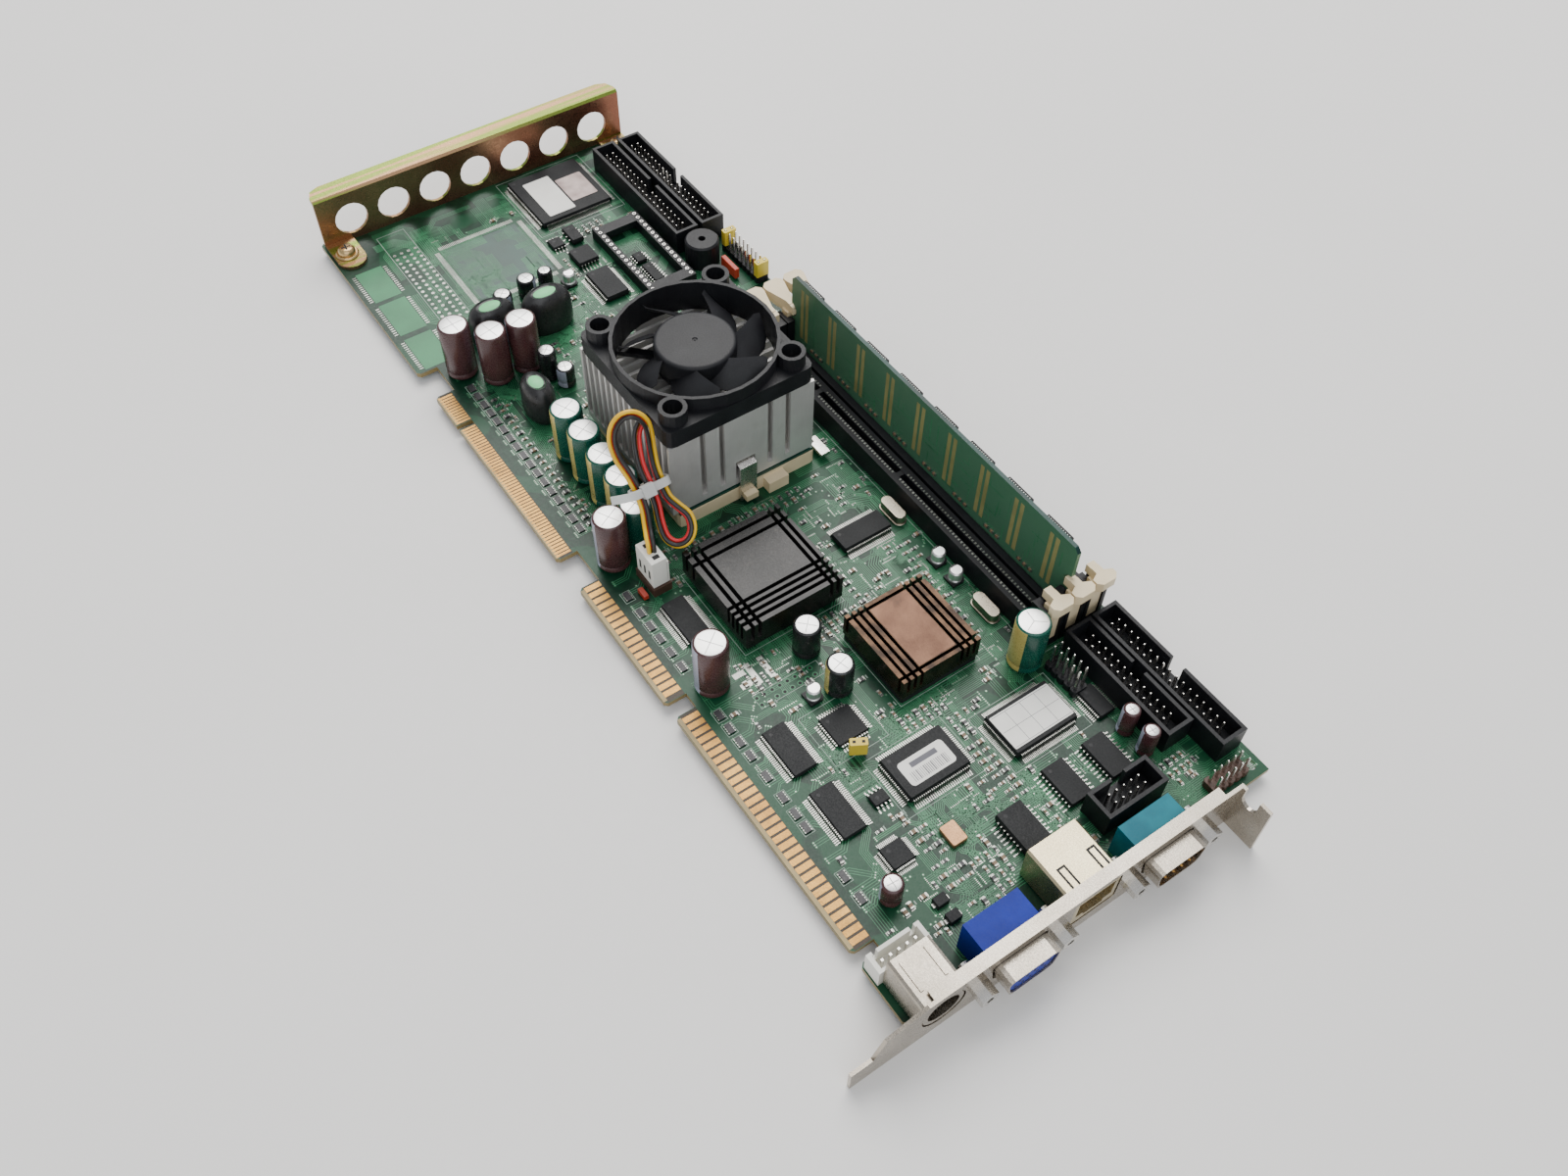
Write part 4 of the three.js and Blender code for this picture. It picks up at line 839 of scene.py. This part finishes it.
def crystal(name, x, y):
    can = Piece(CRYSTAL)
    can.place(x, y)
    can.prism(rounded(-5.4, 5.4, -2.25, 2.25, 2.2, 8), 0.1, 0.6)
    can.prism(rounded(-5.0, 5.0, -1.9, 1.9, 1.85, 8), 0.5, 3.5)
    can.build(name, bevel=0.3)


crystal("crystal_1", 212.3, 92.6)
crystal("crystal_2", 256.0, 92.6)
oscillator = Piece(OSCILLATOR)
oscillator.prism(rounded(303.2, 309.6, 37.8, 42.6, 0.6), 0.1, 1.7)
oscillator.build("oscillator", bevel=0.2)

# The heatsink's top face in the lighter bronze copy: painted light.
plateau = Piece(BRONZE_TOP_LIT)
plateau.prism(rounded(242.7, 265.1, 60.4, 73.0, 0.4), 9.9, 10.04)
plateau.build("graphics_heatsink_lit_top", bevel=0.03)


# ---------------------------------------------------------------- header pins
PIN_PITCH = 2.54


def pins(name, rows, top, base=2.0):
    """Square pins with pointed tips and soldered tails; rows is a list of (x, y)."""
    posts = Piece(STEEL)
    half, tip = 0.32, 0.16
    for x, y in rows:
        posts.place(x, y)
        for stations in (((base, half), (top - 0.5, half), (top, tip)),
                         ((-3.2, 0.2), (-2.9, 0.3), (-BOARD_THICKNESS + 0.05, 0.3))):
            posts.loft([[(u * h, v * h, z) for u, v in ((-1, -1), (1, -1), (1, 1), (-1, 1))]
                        for z, h in stations])
    posts.build(name)


def grid_rows(x, y, columns, rows, turn=False, skip=()):
    """Places on the header pitch round a centre; skip lists (column, row) with no pin."""
    out = []
    for i in range(columns):
        for j in range(rows):
            if (i, j) in skip:
                continue
            u, v = (i - (columns - 1) / 2) * PIN_PITCH, (j - (rows - 1) / 2) * PIN_PITCH
            out.append((x - v, y + u) if turn else (x + u, y + v))
    return out


pins("ide_pins_inner", grid_rows(45.2, 106.6, 20, 2, skip=((10, 1),)), 8.0)
pins("ide_pins_outer", grid_rows(45.2, 117.2, 20, 2, skip=((10, 1),)), 8.0)
pins("parallel_pins", grid_rows(298.5, 106.2, 13, 2), 8.0)
pins("floppy_pins", grid_rows(303.5, 116.0, 17, 2, skip=((2, 0),)), 8.0)
pins("com2_pins", grid_rows(323.8, 82.35, 5, 2, turn=True), 8.0)


def open_header(name, x, y, columns, top, node=None, turn=False, material=BLACK):
    """Pins standing in a low strip that is notched between every pair."""
    base = Piece(material)
    base.place(x, y, 0, turn=90 if turn else 0)
    for i in range(columns):
        middle = (i - (columns - 1) / 2) * PIN_PITCH
        corners = ((-1.26, -1.9), (-0.7, -2.5), (0.7, -2.5), (1.26, -1.9),
                   (1.26, 1.9), (0.7, 2.5), (-0.7, 2.5), (-1.26, 1.9))
        base.prism([(middle + u, v) for u, v in corners], 0.05, 2.5)
    piece = base.build(name, bevel=0.08)
    if node:
        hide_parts(node)
    pins(name + "_pins", grid_rows(x, y, columns, 2, turn=turn), top, 2.3)


open_header("usb_header_strip", 334, 109.85, 5, 8.0, "usb_header", True, BROWN)
open_header("panel_header_strip", 91.95, 119.15, 9, 8.5, "panel_header")
open_header("option_header_strip", 286.4, 96.0, 5, 10.8)


def jumper(name, x, y, z0, z1, turn):
    cap = Piece(YELLOW_CAP)
    cap.place(x, y, 0, turn=turn)
    cap.prism(rounded(-2.45, 2.45, -1.2, 1.2, 0.3, 2), z0, z1)
    # Near-black squares on the top for the cap's two openings: painted shade.
    cap.use(HOLE_SHADE)
    for u in (-1.27, 1.27):
        cap.box(u - 0.45, u + 0.45, -0.45, 0.45, z1 - 0.1, z1 + 0.02)
    cap.build(name, bevel=0.12)


jumper("jumper_panel_1", 81.8, 119.15, 2.6, 8.4, 90)
jumper("jumper_panel_2", 102.1, 119.15, 2.6, 8.4, 90)
jumper("jumper_front", 273.4, 34.2, 1.6, 6.6, 60)
red_block = Piece(RED_PART)
red_block.box(88.4, 97.4, 111.4, 113.2, 0.6, 4.6)
red_block.build("resistor_array_red", bevel=0.25)


# ---------------------------------------------------------------- connectors on the bracket
def connector_details():
    """Contacts, insert and spring slots of the connectors on the bracket; the holes and slots are near-black
    patches of painted shade.
    """
    # The VGA socket's contact holes are near-black discs on its face: painted shade.
    holes = Piece(HOLE_SHADE)
    for row, count, shift in ((1.98, 5, 0.0), (0.0, 5, 1.15), (-1.98, 5, 0.0)):
        for i in range(count):
            y = 30.8 + (i - 2) * 2.29 + shift - 0.3
            holes.prism_x(ring_outline(0.48, 12, y, 6.3 + row), 346.6, 346.83)
    holes.build("vga_hole_shade")
    male = Piece(GOLD)
    for row, count in ((1.42, 5), (-1.42, 4)):
        for i in range(count):
            y = 78.9 + (i - (count - 1) / 2) * 2.77
            male.loft([[(x, y + r * math.cos(a * math.pi / 5), 6.3 + row + r * math.sin(a * math.pi / 5))
                        for a in range(10)] for x, r in ((341.0, 0.5), (346.2, 0.5), (346.9, 0.2))])
    male.build("com_contacts")
    insert = Piece(BLACK)
    insert.prism_x(ring_outline(4.6, 32, 8, 6.5), 334.1, 335.6)
    # The six pin holes are near-black discs: painted shade.
    insert.use(HOLE_SHADE)
    for degrees in (40, 100, 140, 220, 260, 320):
        y = 8 + 2.6 * math.cos(math.radians(degrees))
        z = 6.5 + 2.6 * math.sin(math.radians(degrees))
        insert.prism_x(ring_outline(0.45, 10, y, z), 335.5, 335.63)
    insert.use(BLACK)
    insert.box(335.5, 339.8, 7.0, 9.0, 5.9, 6.7)
    insert.build("ps2_insert", bevel=0.05)
    lan = Piece(GOLD)
    for i in range(8):
        y = 55.2 + (i - 3.5) * 1.02
        lan.tube([(330.5, y, 9.9), (334.5, y, 9.2), (338.4, y, 7.6), (339.2, y, 8.2)], 0.2, 6, up=(0, 1, 0))
    lan.build("lan_contacts")
    # The shell's spring slots are near-black shapes on its top: painted shade in the openings.
    spring_slot_shade = Piece(HOLE_SHADE)
    for y in (51.0, 60.6):
        spring_slot_shade.prism([(332.0, y - 1.35), (338.8, y - 1.35), (338.8, y - 0.75), (332.6, y - 0.75),
                       (332.6, y + 0.75), (338.8, y + 0.75), (338.8, y + 1.35), (332.0, y + 1.35)],
                      13.1, 13.23)
    spring_slot_shade.build("lan_spring_slot_shade")
    keyboard = Piece(STEEL)
    for i in range(5):
        y = 8.3 + (i - 2) * 2.5
        keyboard.box(324.1, 324.75, y - 0.32, y + 0.32, 1.9, 6.4)
    keyboard.build("keyboard_pins")


connector_details()


# ---------------------------------------------------------------- memory
MODULE_Y = 107.3
MODULE_HALF = 0.635
MODULE_KEYS = (163.9, 205.9)
MODULE_PITCH = 1.27


def near_key(x, reach):
    return min(abs(x - key) for key in MODULE_KEYS) < reach


def memory_details():
    """Contacts and keys of the sockets, and all that is on the module's two faces."""
    contacts = Piece(SOLDER)
    keys = Piece(BLACK)
    for centre in (99.5, 115.1):
        for i in range(102):
            x = 139.4 + MODULE_PITCH * i
            if near_key(x, 1.5):
                continue
            for y in (centre - 1.55, centre + 1.55):
                contacts.box(x - 0.28, x + 0.28, y - 0.35, y + 0.35, 8.2, 8.36)
        for x in MODULE_KEYS:
            keys.box(x - 0.9, x + 0.9, centre - 1.0, centre + 1.0, 2.4, 8.1)
    contacts.build("socket_contacts")
    keys.build("socket_keys")
    face = MODULE_Y - MODULE_HALF
    rear = MODULE_Y + MODULE_HALF
    marks = Piece(OLIVE)
    for i in range(9):
        x = 145.0 + 14.7 * i
        for shift in (-1.25, 1.25):
            marks.box(x + shift - 0.75, x + shift + 0.75, face - 0.03, face + 0.1, 11.5, 31.2)
    marks.build("module_stripes")
    parts = Piece(CERAMIC)
    for i in range(9):
        x = 148.0 + 14.6 * i
        for k in range(3):
            left = x + 2.4 * k
            parts.use(CERAMIC).box(left + 1.6, left + 2.6, face - 0.55, face, 10.2, 11.0)
            parts.use(SOLDER)
            for end in (left + 1.35, left + 2.55):
                parts.box(end, end + 0.3, face - 0.58, face, 10.15, 11.05)
    parts.build("module_passives")
    tracks = Piece(TRACE)
    for i in range(110):
        x = random.uniform(141, 268)
        z = random.uniform(9.5, 27)
        length = random.uniform(2.5, 9)
        width = random.choice((0.2, 0.25, 0.35))
        if random.random() < 0.5:
            tracks.box(x, x + width, face - 0.02, face + 0.1, z, min(z + length, 32.5))
        else:
            tracks.box(x, min(x + length, 270), face - 0.02, face + 0.1, z, z + width)
    tracks.build("module_tracks")
    chips = Piece(EPOXY)
    for i in range(8):
        x = 147.0 + 16.4 * i
        chips.box(x - 5.1, x + 5.1, rear + 0.08, rear + 1.2, 11.2, 33.0)
        chips.use(LEAD)
        for end in (10.6, 32.6):
            for k in range(11):
                lead = x - 4.2 + 0.84 * k
                chips.box(lead - 0.15, lead + 0.15, rear, rear + 0.5, end, end + 0.7)
        chips.use(EPOXY)
    chips.build("module_chips", bevel=0.08)
    fingers = Piece(GOLD)
    for i in range(84):
        x = 139.6 + 1.5621 * i
        if x > 270 or near_key(x, 1.6):
            continue
        for y in (face - 0.03, rear - 0.1):
            fingers.box(x - 0.45, x + 0.45, y, y + 0.13, 2.4, 5.4)
    fingers.build("module_fingers")


memory_details()


# ---------------------------------------------------------------- flash socket contacts
flash = Piece(STEEL)
for y in (83.1, 98.5):
    for i in range(16):
        flash.place(51.35 + PIN_PITCH * i, y)
        flash.lathe([(0, 3.9), (0.75, 3.9), (0.75, 4.3), (0.62, 4.4), (0.42, 4.4), (0.36, 4.1), (0, 4.1)], 16)
        flash.lathe([(0, -3.2), (0.25, -3.2), (0.25, -1.5), (0, -1.5)], 8)
flash.build("flash_socket_contacts")


# ---------------------------------------------------------------- board surface
BOARD_LENGTH = 338.5
BOARD_DEPTH = 122
KEEP_OUT = []


def reserve(x0, x1, y0, y1, margin=0.8):
    KEEP_OUT.append((x0 - margin, x1 + margin, y0 - margin, y1 + margin))


def is_free(x, y, reach):
    return not any(x0 - reach < x < x1 + reach and y0 - reach < y < y1 + reach
                   for x0, x1, y0, y1 in KEEP_OUT)


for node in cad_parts:
    if node in ("circuit_board", "fan_lead", "cable_tie", "fan_frame", "fan_rotor", "io_bracket"):
        continue
    low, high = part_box(node)
    if low.z - ORIGIN.z > 6 * MM:
        continue
    reserve((low.x - ORIGIN.x) / MM, (high.x - ORIGIN.x) / MM,
            (low.y - ORIGIN.y) / MM, (high.y - ORIGIN.y) / MM)
for cx, cy, hx, hy in [
    *[(x, y, 5, 5) for x, y in BROWN_CANS], *[(x, 24.8, 5, 5) for x in (136.4, 147.1, 158.4, 168.7, 178)],
    *[(x, y, r, r) for x, y, r, h in SMALL_CANS], (309, 96.5, 3, 3), (314.5, 96.5, 3, 3), (311, 16.5, 3, 3),
    (253.2, 34.3, 3, 3), (234.1, 92.5, 3, 3), (242.3, 92.4, 3, 3), (66.9, 63, 3, 3), (76.2, 29.4, 6, 9),
    (213.1, 80, 6.2, 9), (211.3, 19.6, 8.4, 6), (262.5, 19.6, 8.4, 6), (284.4, 19.6, 8.4, 6),
    (264.5, 36, 6.8, 6.8),
    (311.6, 88.2, 6.8, 5.8), (311.6, 73.9, 6.8, 5.8), (297, 97.5, 5.4, 4), (315.3, 55.7, 6.6, 6.4),
    (287.4, 30.7, 3, 3.5), (302.7, 24.9, 5, 5), (306.4, 40.2, 3.6, 3), (46.5, 68.1, 3, 3.5),
    (45.7, 75.7, 5, 3.5),
    (58.2, 73.6, 6.4, 4.6), (75.3, 73.2, 8.2, 6.4), (78.6, 89.6, 5.4, 3.4), (69.3, 89.6, 3, 3.4),
    (212.3, 92.6, 5.6, 2.6), (256, 92.6, 5.6, 2.6), (273.4, 34.2, 3, 3), (286.4, 96, 7, 3),
    (92.9, 112.3, 5, 1.4),
    (22.4, 83.7, 16.5, 16.5), (286.3, 46.6, 9.4, 12.2), (291.6, 78.8, 9.2, 13),
]:
    reserve(cx - hx, cx + hx, cy - hy, cy + hy, 0.5)


def inside_board(x, y, edge=1.5):
    return edge < x < BOARD_LENGTH - edge and 9.0 < y < BOARD_DEPTH - edge


def both_faces(piece, x0, x1, y0, y1, rise):
    """The same thin patch on the board's two faces."""
    piece.box(x0, x1, y0, y1, 0.0, rise)
    piece.box(x0, x1, y0, y1, -BOARD_THICKNESS - rise, -BOARD_THICKNESS)


def edge_fingers():
    gold = Piece(GOLD)
    for i in range(62):
        x = 92.46 + 1.27 * i
        if x > 170.2 or abs(x - 107.07) < 1.4:
            continue
        both_faces(gold, x - 0.42, x + 0.42, 0.5, 5.2, 0.035)
    for first, count in ((185.5, 18), (238.75, 31)):
        for i in range(count):
            x = first + PIN_PITCH * i
            both_faces(gold, x - 0.89, x + 0.89, 1.3, 6.3, 0.035)
    gold.build("edge_fingers")
    gap = Piece(FINGER_GAP)
    for x0, x1, y1 in ((91.2, 105.9, 5.4), (108.2, 171.1, 5.4), (184.2, 231.3, 6.4), (236.8, 317.0, 6.4)):
        both_faces(gap, x0, x1, 1.2, y1, 0.015)
    gap.build("finger_gaps")
    bare = Piece(TAN)
    for x0, x1 in ((91.6, 105.6), (108.4, 170.6), (185.0, 230.6), (237.4, 316.2)):
        both_faces(bare, x0, x1, 0.1, 1.25, 0.02)
    bare.build("finger_bare_edge")


def offset_path(path, offset):
    """A bundle's neighbour: the same bends, moved sideways."""
    out = []
    for i, point in enumerate(path):
        before = (Vector(point) - Vector(path[i - 1])).normalized() if i > 0 else None
        after = (Vector(path[i + 1]) - Vector(point)).normalized() if i < len(path) - 1 else None
        first, second = before or after, after or before
        mean = (first + second).normalized()
        reach = offset / max(0.5, mean.dot(first))
        out.append((point[0] - mean.y * reach, point[1] + mean.x * reach))
    return out


def bundle(piece, vias, start, heading, legs, count, pitch=0.55, width=0.22):
    """Parallel traces that turn by 45 degrees between legs; legs are (length, turn in eighths).
    Each trace adds its two ends to vias."""
    x, y = start
    path = [(x, y)]
    for length, turn in legs:
        angle = math.radians(45 * heading)
        x += length * math.cos(angle)
        y += length * math.sin(angle)
        path.append((x, y))
        heading += turn
    for i in range(count):
        line = offset_path(path, (i - (count - 1) / 2) * pitch)
        if not all(inside_board(px, py, 1.0) for px, py in line):
            continue
        piece.strip(line, width, 0.0, 0.022 + 0.002 * (i % 4))
        vias.append(line[0])
        vias.append(line[-1])


def board_tracks():
    """Traces and vias, scattered by chance where the photo shows them."""
    tracks = Piece(TRACE)
    vias = []
    for i in range(15):
        x = 96 + 5.0 * i
        bundle(tracks, vias, (x, 9.4), 2, [(random.uniform(4, 9), random.choice((-1, 1))),
                                           (random.uniform(3, 8), 0)], 4, 0.62)
    for i in range(24):
        x = 188 + 5.3 * i
        bundle(tracks, vias, (x, 9.4), 2, [(random.uniform(3, 7), random.choice((-1, 1))),
                                           (random.uniform(3, 7), 0)], 3, 0.7)
    for _ in range(430):
        start = (random.uniform(8, 330), random.uniform(12, 118))
        turns = [(random.uniform(4, 18), random.choice((-1, 1))),
                 (random.uniform(2, 7), random.choice((-1, 1))), (random.uniform(3, 16), 0)]
        bundle(tracks, vias, start, random.choice((0, 2, 4, 6)), turns, random.randint(3, 9),
               random.choice((0.5, 0.55, 0.7)), random.choice((0.18, 0.22, 0.3)))
    for x0, x1, y, count in ((186, 236, 62, 14), (196, 240, 30, 8), (240, 300, 56, 10), (220, 272, 84, 12),
                             (100, 128, 60, 10), (30, 62, 64, 8), (272, 322, 66, 9), (186, 206, 90, 12)):
        bundle(tracks, vias, (x0, y), 0, [((x1 - x0) * 0.6, 1), (5, -1), ((x1 - x0) * 0.3, 0)], count, 0.55)
    tracks.build("board_tracks")
    rings = Piece(TRACE)
    centres = Piece(SOLDER)
    for _ in range(1500):
        vias.append((random.uniform(5, 333), random.uniform(11, 119)))
    kept = [(x, y) for x, y in vias if inside_board(x, y) and is_free(x, y, 0.2)]
    for x, y in kept:
        rings.prism(ring_outline(0.42, 8, x, y), 0.0, 0.04)
        centres.prism(ring_outline(0.18, 6, x, y), 0.0, 0.05)
    rings.build("via_rings")
    centres.build("via_holes")


def chip_part(ends, body, x, y, turned, length, width, height):
    """One leadless part: a body between two tinned ends."""
    turn = 90 if turned else 0
    half, cap = length / 2, 0.24 * length
    body.place(x, y, 0, turn)
    body.box(-half + cap, half - cap, -width / 2 + 0.03, width / 2 - 0.03, 0.06, height - 0.02)
    ends.place(x, y, 0, turn)
    for sign in (-1, 1):
        inner, outer = sorted((sign * (half - cap), sign * half))
        ends.box(inner, outer, -width / 2, width / 2, 0.04, height)
    ends.box(-half - 0.35, half + 0.35, -width / 2 - 0.1, width / 2 + 0.1, 0.0, 0.045)


def small_parts():
    """Leadless parts: one row behind the fingers, small arrays, and the rest scattered by chance."""
    ends = Piece(SOLDER)
    tan = Piece(CERAMIC)
    black = Piece(RESISTOR)
    marks = Piece(SILK)
    rows = []
    for i in range(26):
        x = 93.6 + 2.95 * i
        rows.append((x, 15.2, True))
    for cx, cy, nx, ny, px, py, turned in (
            (222, 62, 10, 3, 2.6, 3.4, True), (235, 52, 3, 6, 2.6, 2.4, False),
            (189.5, 62, 2, 9, 3.2, 3.0, False), (228, 88, 6, 2, 3.0, 3.0, True),
            (272, 55, 3, 5, 3.0, 2.6, False), (250, 84, 8, 2, 3.0, 3.4, True),
            (320, 44, 4, 3, 3.0, 2.8, False), (300, 34, 5, 2, 3.0, 3.2, True),
            (298, 62, 8, 2, 2.6, 3.2, True), (322, 100, 3, 6, 3.2, 2.2, False),
            (190, 40, 2, 5, 3.0, 3.2, False), (105, 60, 5, 3, 3.2, 3.2, True),
            (46, 82, 3, 5, 3.0, 2.8, False), (100, 78, 6, 2, 3.0, 3.0, True),
            (118, 50, 5, 3, 3.0, 3.2, True), (122, 90, 5, 2, 3.0, 3.2, True),
            (104, 96, 6, 3, 3.0, 3.2, True), (60, 66, 4, 2, 3.0, 3.0, False),
            (314, 34, 3, 3, 3.2, 3.0, True), (282, 64, 3, 3, 3.0, 2.8, False),
            (240, 26, 2, 4, 3.0, 2.8, False)):
        for i in range(nx):
            for j in range(ny):
                rows.append((cx + (i - (nx - 1) / 2) * px, cy + (j - (ny - 1) / 2) * py, turned))
    for _ in range(1150):
        rows.append((random.uniform(64, 332), random.uniform(11, 119), random.random() < 0.5))
    for _ in range(60):
        rows.append((random.uniform(8, 64), random.uniform(48, 104), random.random() < 0.5))
    for x, y, turned in rows:
        if not inside_board(x, y, 2.5) or not is_free(x, y, 0.95):
            continue
        length, width, height = random.choice(((1.5, 0.75, 0.45), (1.5, 0.75, 0.45), (1.9, 1.15, 0.7)))
        chip_part(ends, random.choice((tan, tan, black)), x, y, turned, length, width, height)
        half_x, half_y = (width / 2, length / 2) if turned else (length / 2, width / 2)
        KEEP_OUT.append((x - half_x, x + half_x, y - half_y, y + half_y))
        if random.random() < 0.6:
            side = y + half_y + 0.75
            marks.box(x - 0.7, x + random.uniform(0.2, 0.8), side, side + 0.35, 0.0, 0.03)
    ends.build("part_ends")
    tan.build("ceramic_parts")
    black.build("resistor_parts")
    marks.build("part_marks")


def resistor_networks():
    """Four-way resistor networks behind the fingers, each in a printed frame."""
    bodies = Piece(RESISTOR)
    ends = Piece(SOLDER)
    frames = Piece(SILK)
    places = [(94 + 4.4 * i, 9.4) for i in range(17)]
    places += [(x, 8.1) for x in (194.3, 201.5, 207, 212.2, 217.8, 223.7, 242.7, 247.8, 252.8, 257.9, 265.5,
                                  273, 278.7, 283.4, 299.9, 307)]
    for x, y in places:
        if not is_free(x, y + 2.2, 0.4):
            continue
        frame_mark(frames, x - 2.1, x + 2.1, y + 0.6, y + 3.8, 0.16)
        bodies.box(x - 1.6, x + 1.6, y + 1.4, y + 3.0, 0.08, 0.6)
        for k in range(4):
            u = x - 1.2 + 0.8 * k
            ends.box(u - 0.25, u + 0.25, y + 1.05, y + 3.35, 0.03, 0.4)
        KEEP_OUT.append((x - 1.8, x + 1.8, y + 1.0, y + 3.4))
    bodies.build("resistor_networks")
    ends.build("resistor_network_ends")
    frames.build("resistor_network_outlines")


def frame_mark(piece, x0, x1, y0, y1, width=0.18):
    """A printed rectangle, as four thin bars."""
    for a, b, c, d in ((x0, x1, y0, y0 + width), (x0, x1, y1 - width, y1),
                       (x0, x0 + width, y0 + width, y1 - width), (x1 - width, x1, y0 + width, y1 - width)):
        piece.box(a, b, c, d, 0.0, 0.03)


EMPTY_MEMORY = ((22, 39), (41, 58.5), (61, 77.5))


def empty_places():
    """Footprints with nothing fitted, and the printed outlines round the large parts."""
    silk = Piece(SILK)
    pads = Piece(SOLDER)
    rings = Piece(TRACE)
    # Each drilled hole of the empty header is a near-black disc: painted shade in the open hole.
    drilled_shade = Piece(HOLE_SHADE)
    for outline in ((4.5, 40.0, 66.7, 101.0), (133.0, 276.6, 95.0, 119.8), (242.5, 247.5, 21.0, 42.5),
                    (8.0, 63.0, 17.5, 28.0, 0.22), (196.2, 230.4, 27.0, 61.4), (239.6, 268.2, 52.8, 80.8),
                    (276.2, 296.4, 33.6, 59.6), (281.4, 301.8, 65.2, 92.4), (255.6, 273.4, 27.2, 44.8)):
        frame_mark(silk, *outline)
    silk.build("printed_outlines")
    for i in range(17):
        for j in range(4):
            pads.prism(ring_outline(0.62, 10, 20 + 2.5 * i, 19 + 2.66 * j), 0.0, 0.05)
    for i in range(52):
        u = 27.2 + 0.6 * i
        v = 33.6 + 0.56 * i
        for y in (31.0, 63.4):
            pads.box(u - 0.14, u + 0.14, y, y + 1.8, 0.0, 0.04)
        for x in (24.5, 58.4):
            pads.box(x, x + 1.8, v - 0.14, v + 0.14, 0.0, 0.04)
    for i in range(8):
        for j in range(2):
            x, y = 243.8 + PIN_PITCH * j, 21.8 + PIN_PITCH * i
            rings.prism(ring_outline(0.85, 12, x, y), 0.0, 0.04)
            drilled_shade.prism(ring_outline(0.5, 10, x, y), 0.0, 0.05)
    for y in (25.4, 29.8):
        pads.box(232.6, 240.4, y - 0.9, y + 0.9, 0.0, 0.04)
    for x in (234.6, 238.6):
        pads.box(x - 0.9, x + 0.9, 20.2, 23.8, 0.0, 0.04)
    for x0, x1 in EMPTY_MEMORY:
        for i in range(14):
            u = x0 + 1.2 + (x1 - x0 - 2.4) * i / 13
            for y in (1.6, 13.1):
                pads.box(u - 0.22, u + 0.22, y, y + 1.3, 0.0, 0.04)
    pads.build("empty_pads")
    rings.build("empty_header_rings")
    drilled_shade.build("empty_header_hole_shade")
    patches = Piece(SUBSTRATE)
    for x0, x1 in EMPTY_MEMORY:
        patches.box(x0, x1, 3.2, 12.8, 0.0, 0.012)
    patches.use(DEEP_MASK)
    patches.box(27.5, 57.2, 33.8, 62.4, 0.0, 0.012)
    patches.build("empty_patches")


reserve(22, 78, 1, 15)
reserve(8, 63, 17, 28.5)
reserve(24, 61, 30.5, 65.5)
edge_fingers()
board_tracks()
resistor_networks()
small_parts()
empty_places()

diodes = Piece(RED_PART)
diodes.box(194.6, 198.4, 13.5, 15.1, 0.3, 1.9)
diodes.use(EPOXY)
for x in (319, 324):
    diodes.box(x - 1.4, x + 1.4, 24.2, 27.8, 0.1, 2.3)
diodes.use(LEAD)
for x in (319, 324):
    for y in (23.4, 27.6):
        diodes.box(x - 0.7, x + 0.7, y, y + 0.9, 0.04, 1.0)
diodes.build("diodes", bevel=0.12)


# ---------------------------------------------------------------- floor and light
def make_stage():
    bpy.ops.mesh.primitive_plane_add(size=6.0, location=(0, 0, 0))
    floor = bpy.context.object
    floor.name = "floor"
    floor.data.materials.append(finish("floor_pale", (0.84, 0.83, 0.81), (0.80, 0.79, 0.77), (0.6, 0.75),
                                       mottle=4, grain=300, bump=0.02))
    for name, place, size, power, colour in (
            ("key", (-0.9, 0.6, 1.5), 1.5, 46.0, (1.0, 0.98, 0.95)),
            ("fill", (1.2, -0.6, 1.2), 1.8, 14.0, (0.95, 0.97, 1.0))):
        data = bpy.data.lights.new(name, "AREA")
        data.shape = "SQUARE"
        data.size = size
        data.energy = power
        data.color = colour
        lamp = bpy.data.objects.new(name, data)
        bpy.context.scene.collection.objects.link(lamp)
        lamp.location = place
        lamp.rotation_mode = "QUATERNION"
        lamp.rotation_quaternion = Vector(place).to_track_quat("Z", "Y")
    world = bpy.data.worlds.new("studio")
    world.use_nodes = True
    world.node_tree.nodes["Background"].inputs["Color"].default_value = (0.93, 0.95, 1.0, 1.0)
    world.node_tree.nodes["Background"].inputs["Strength"].default_value = 0.62
    bpy.context.scene.world = world


make_stage()
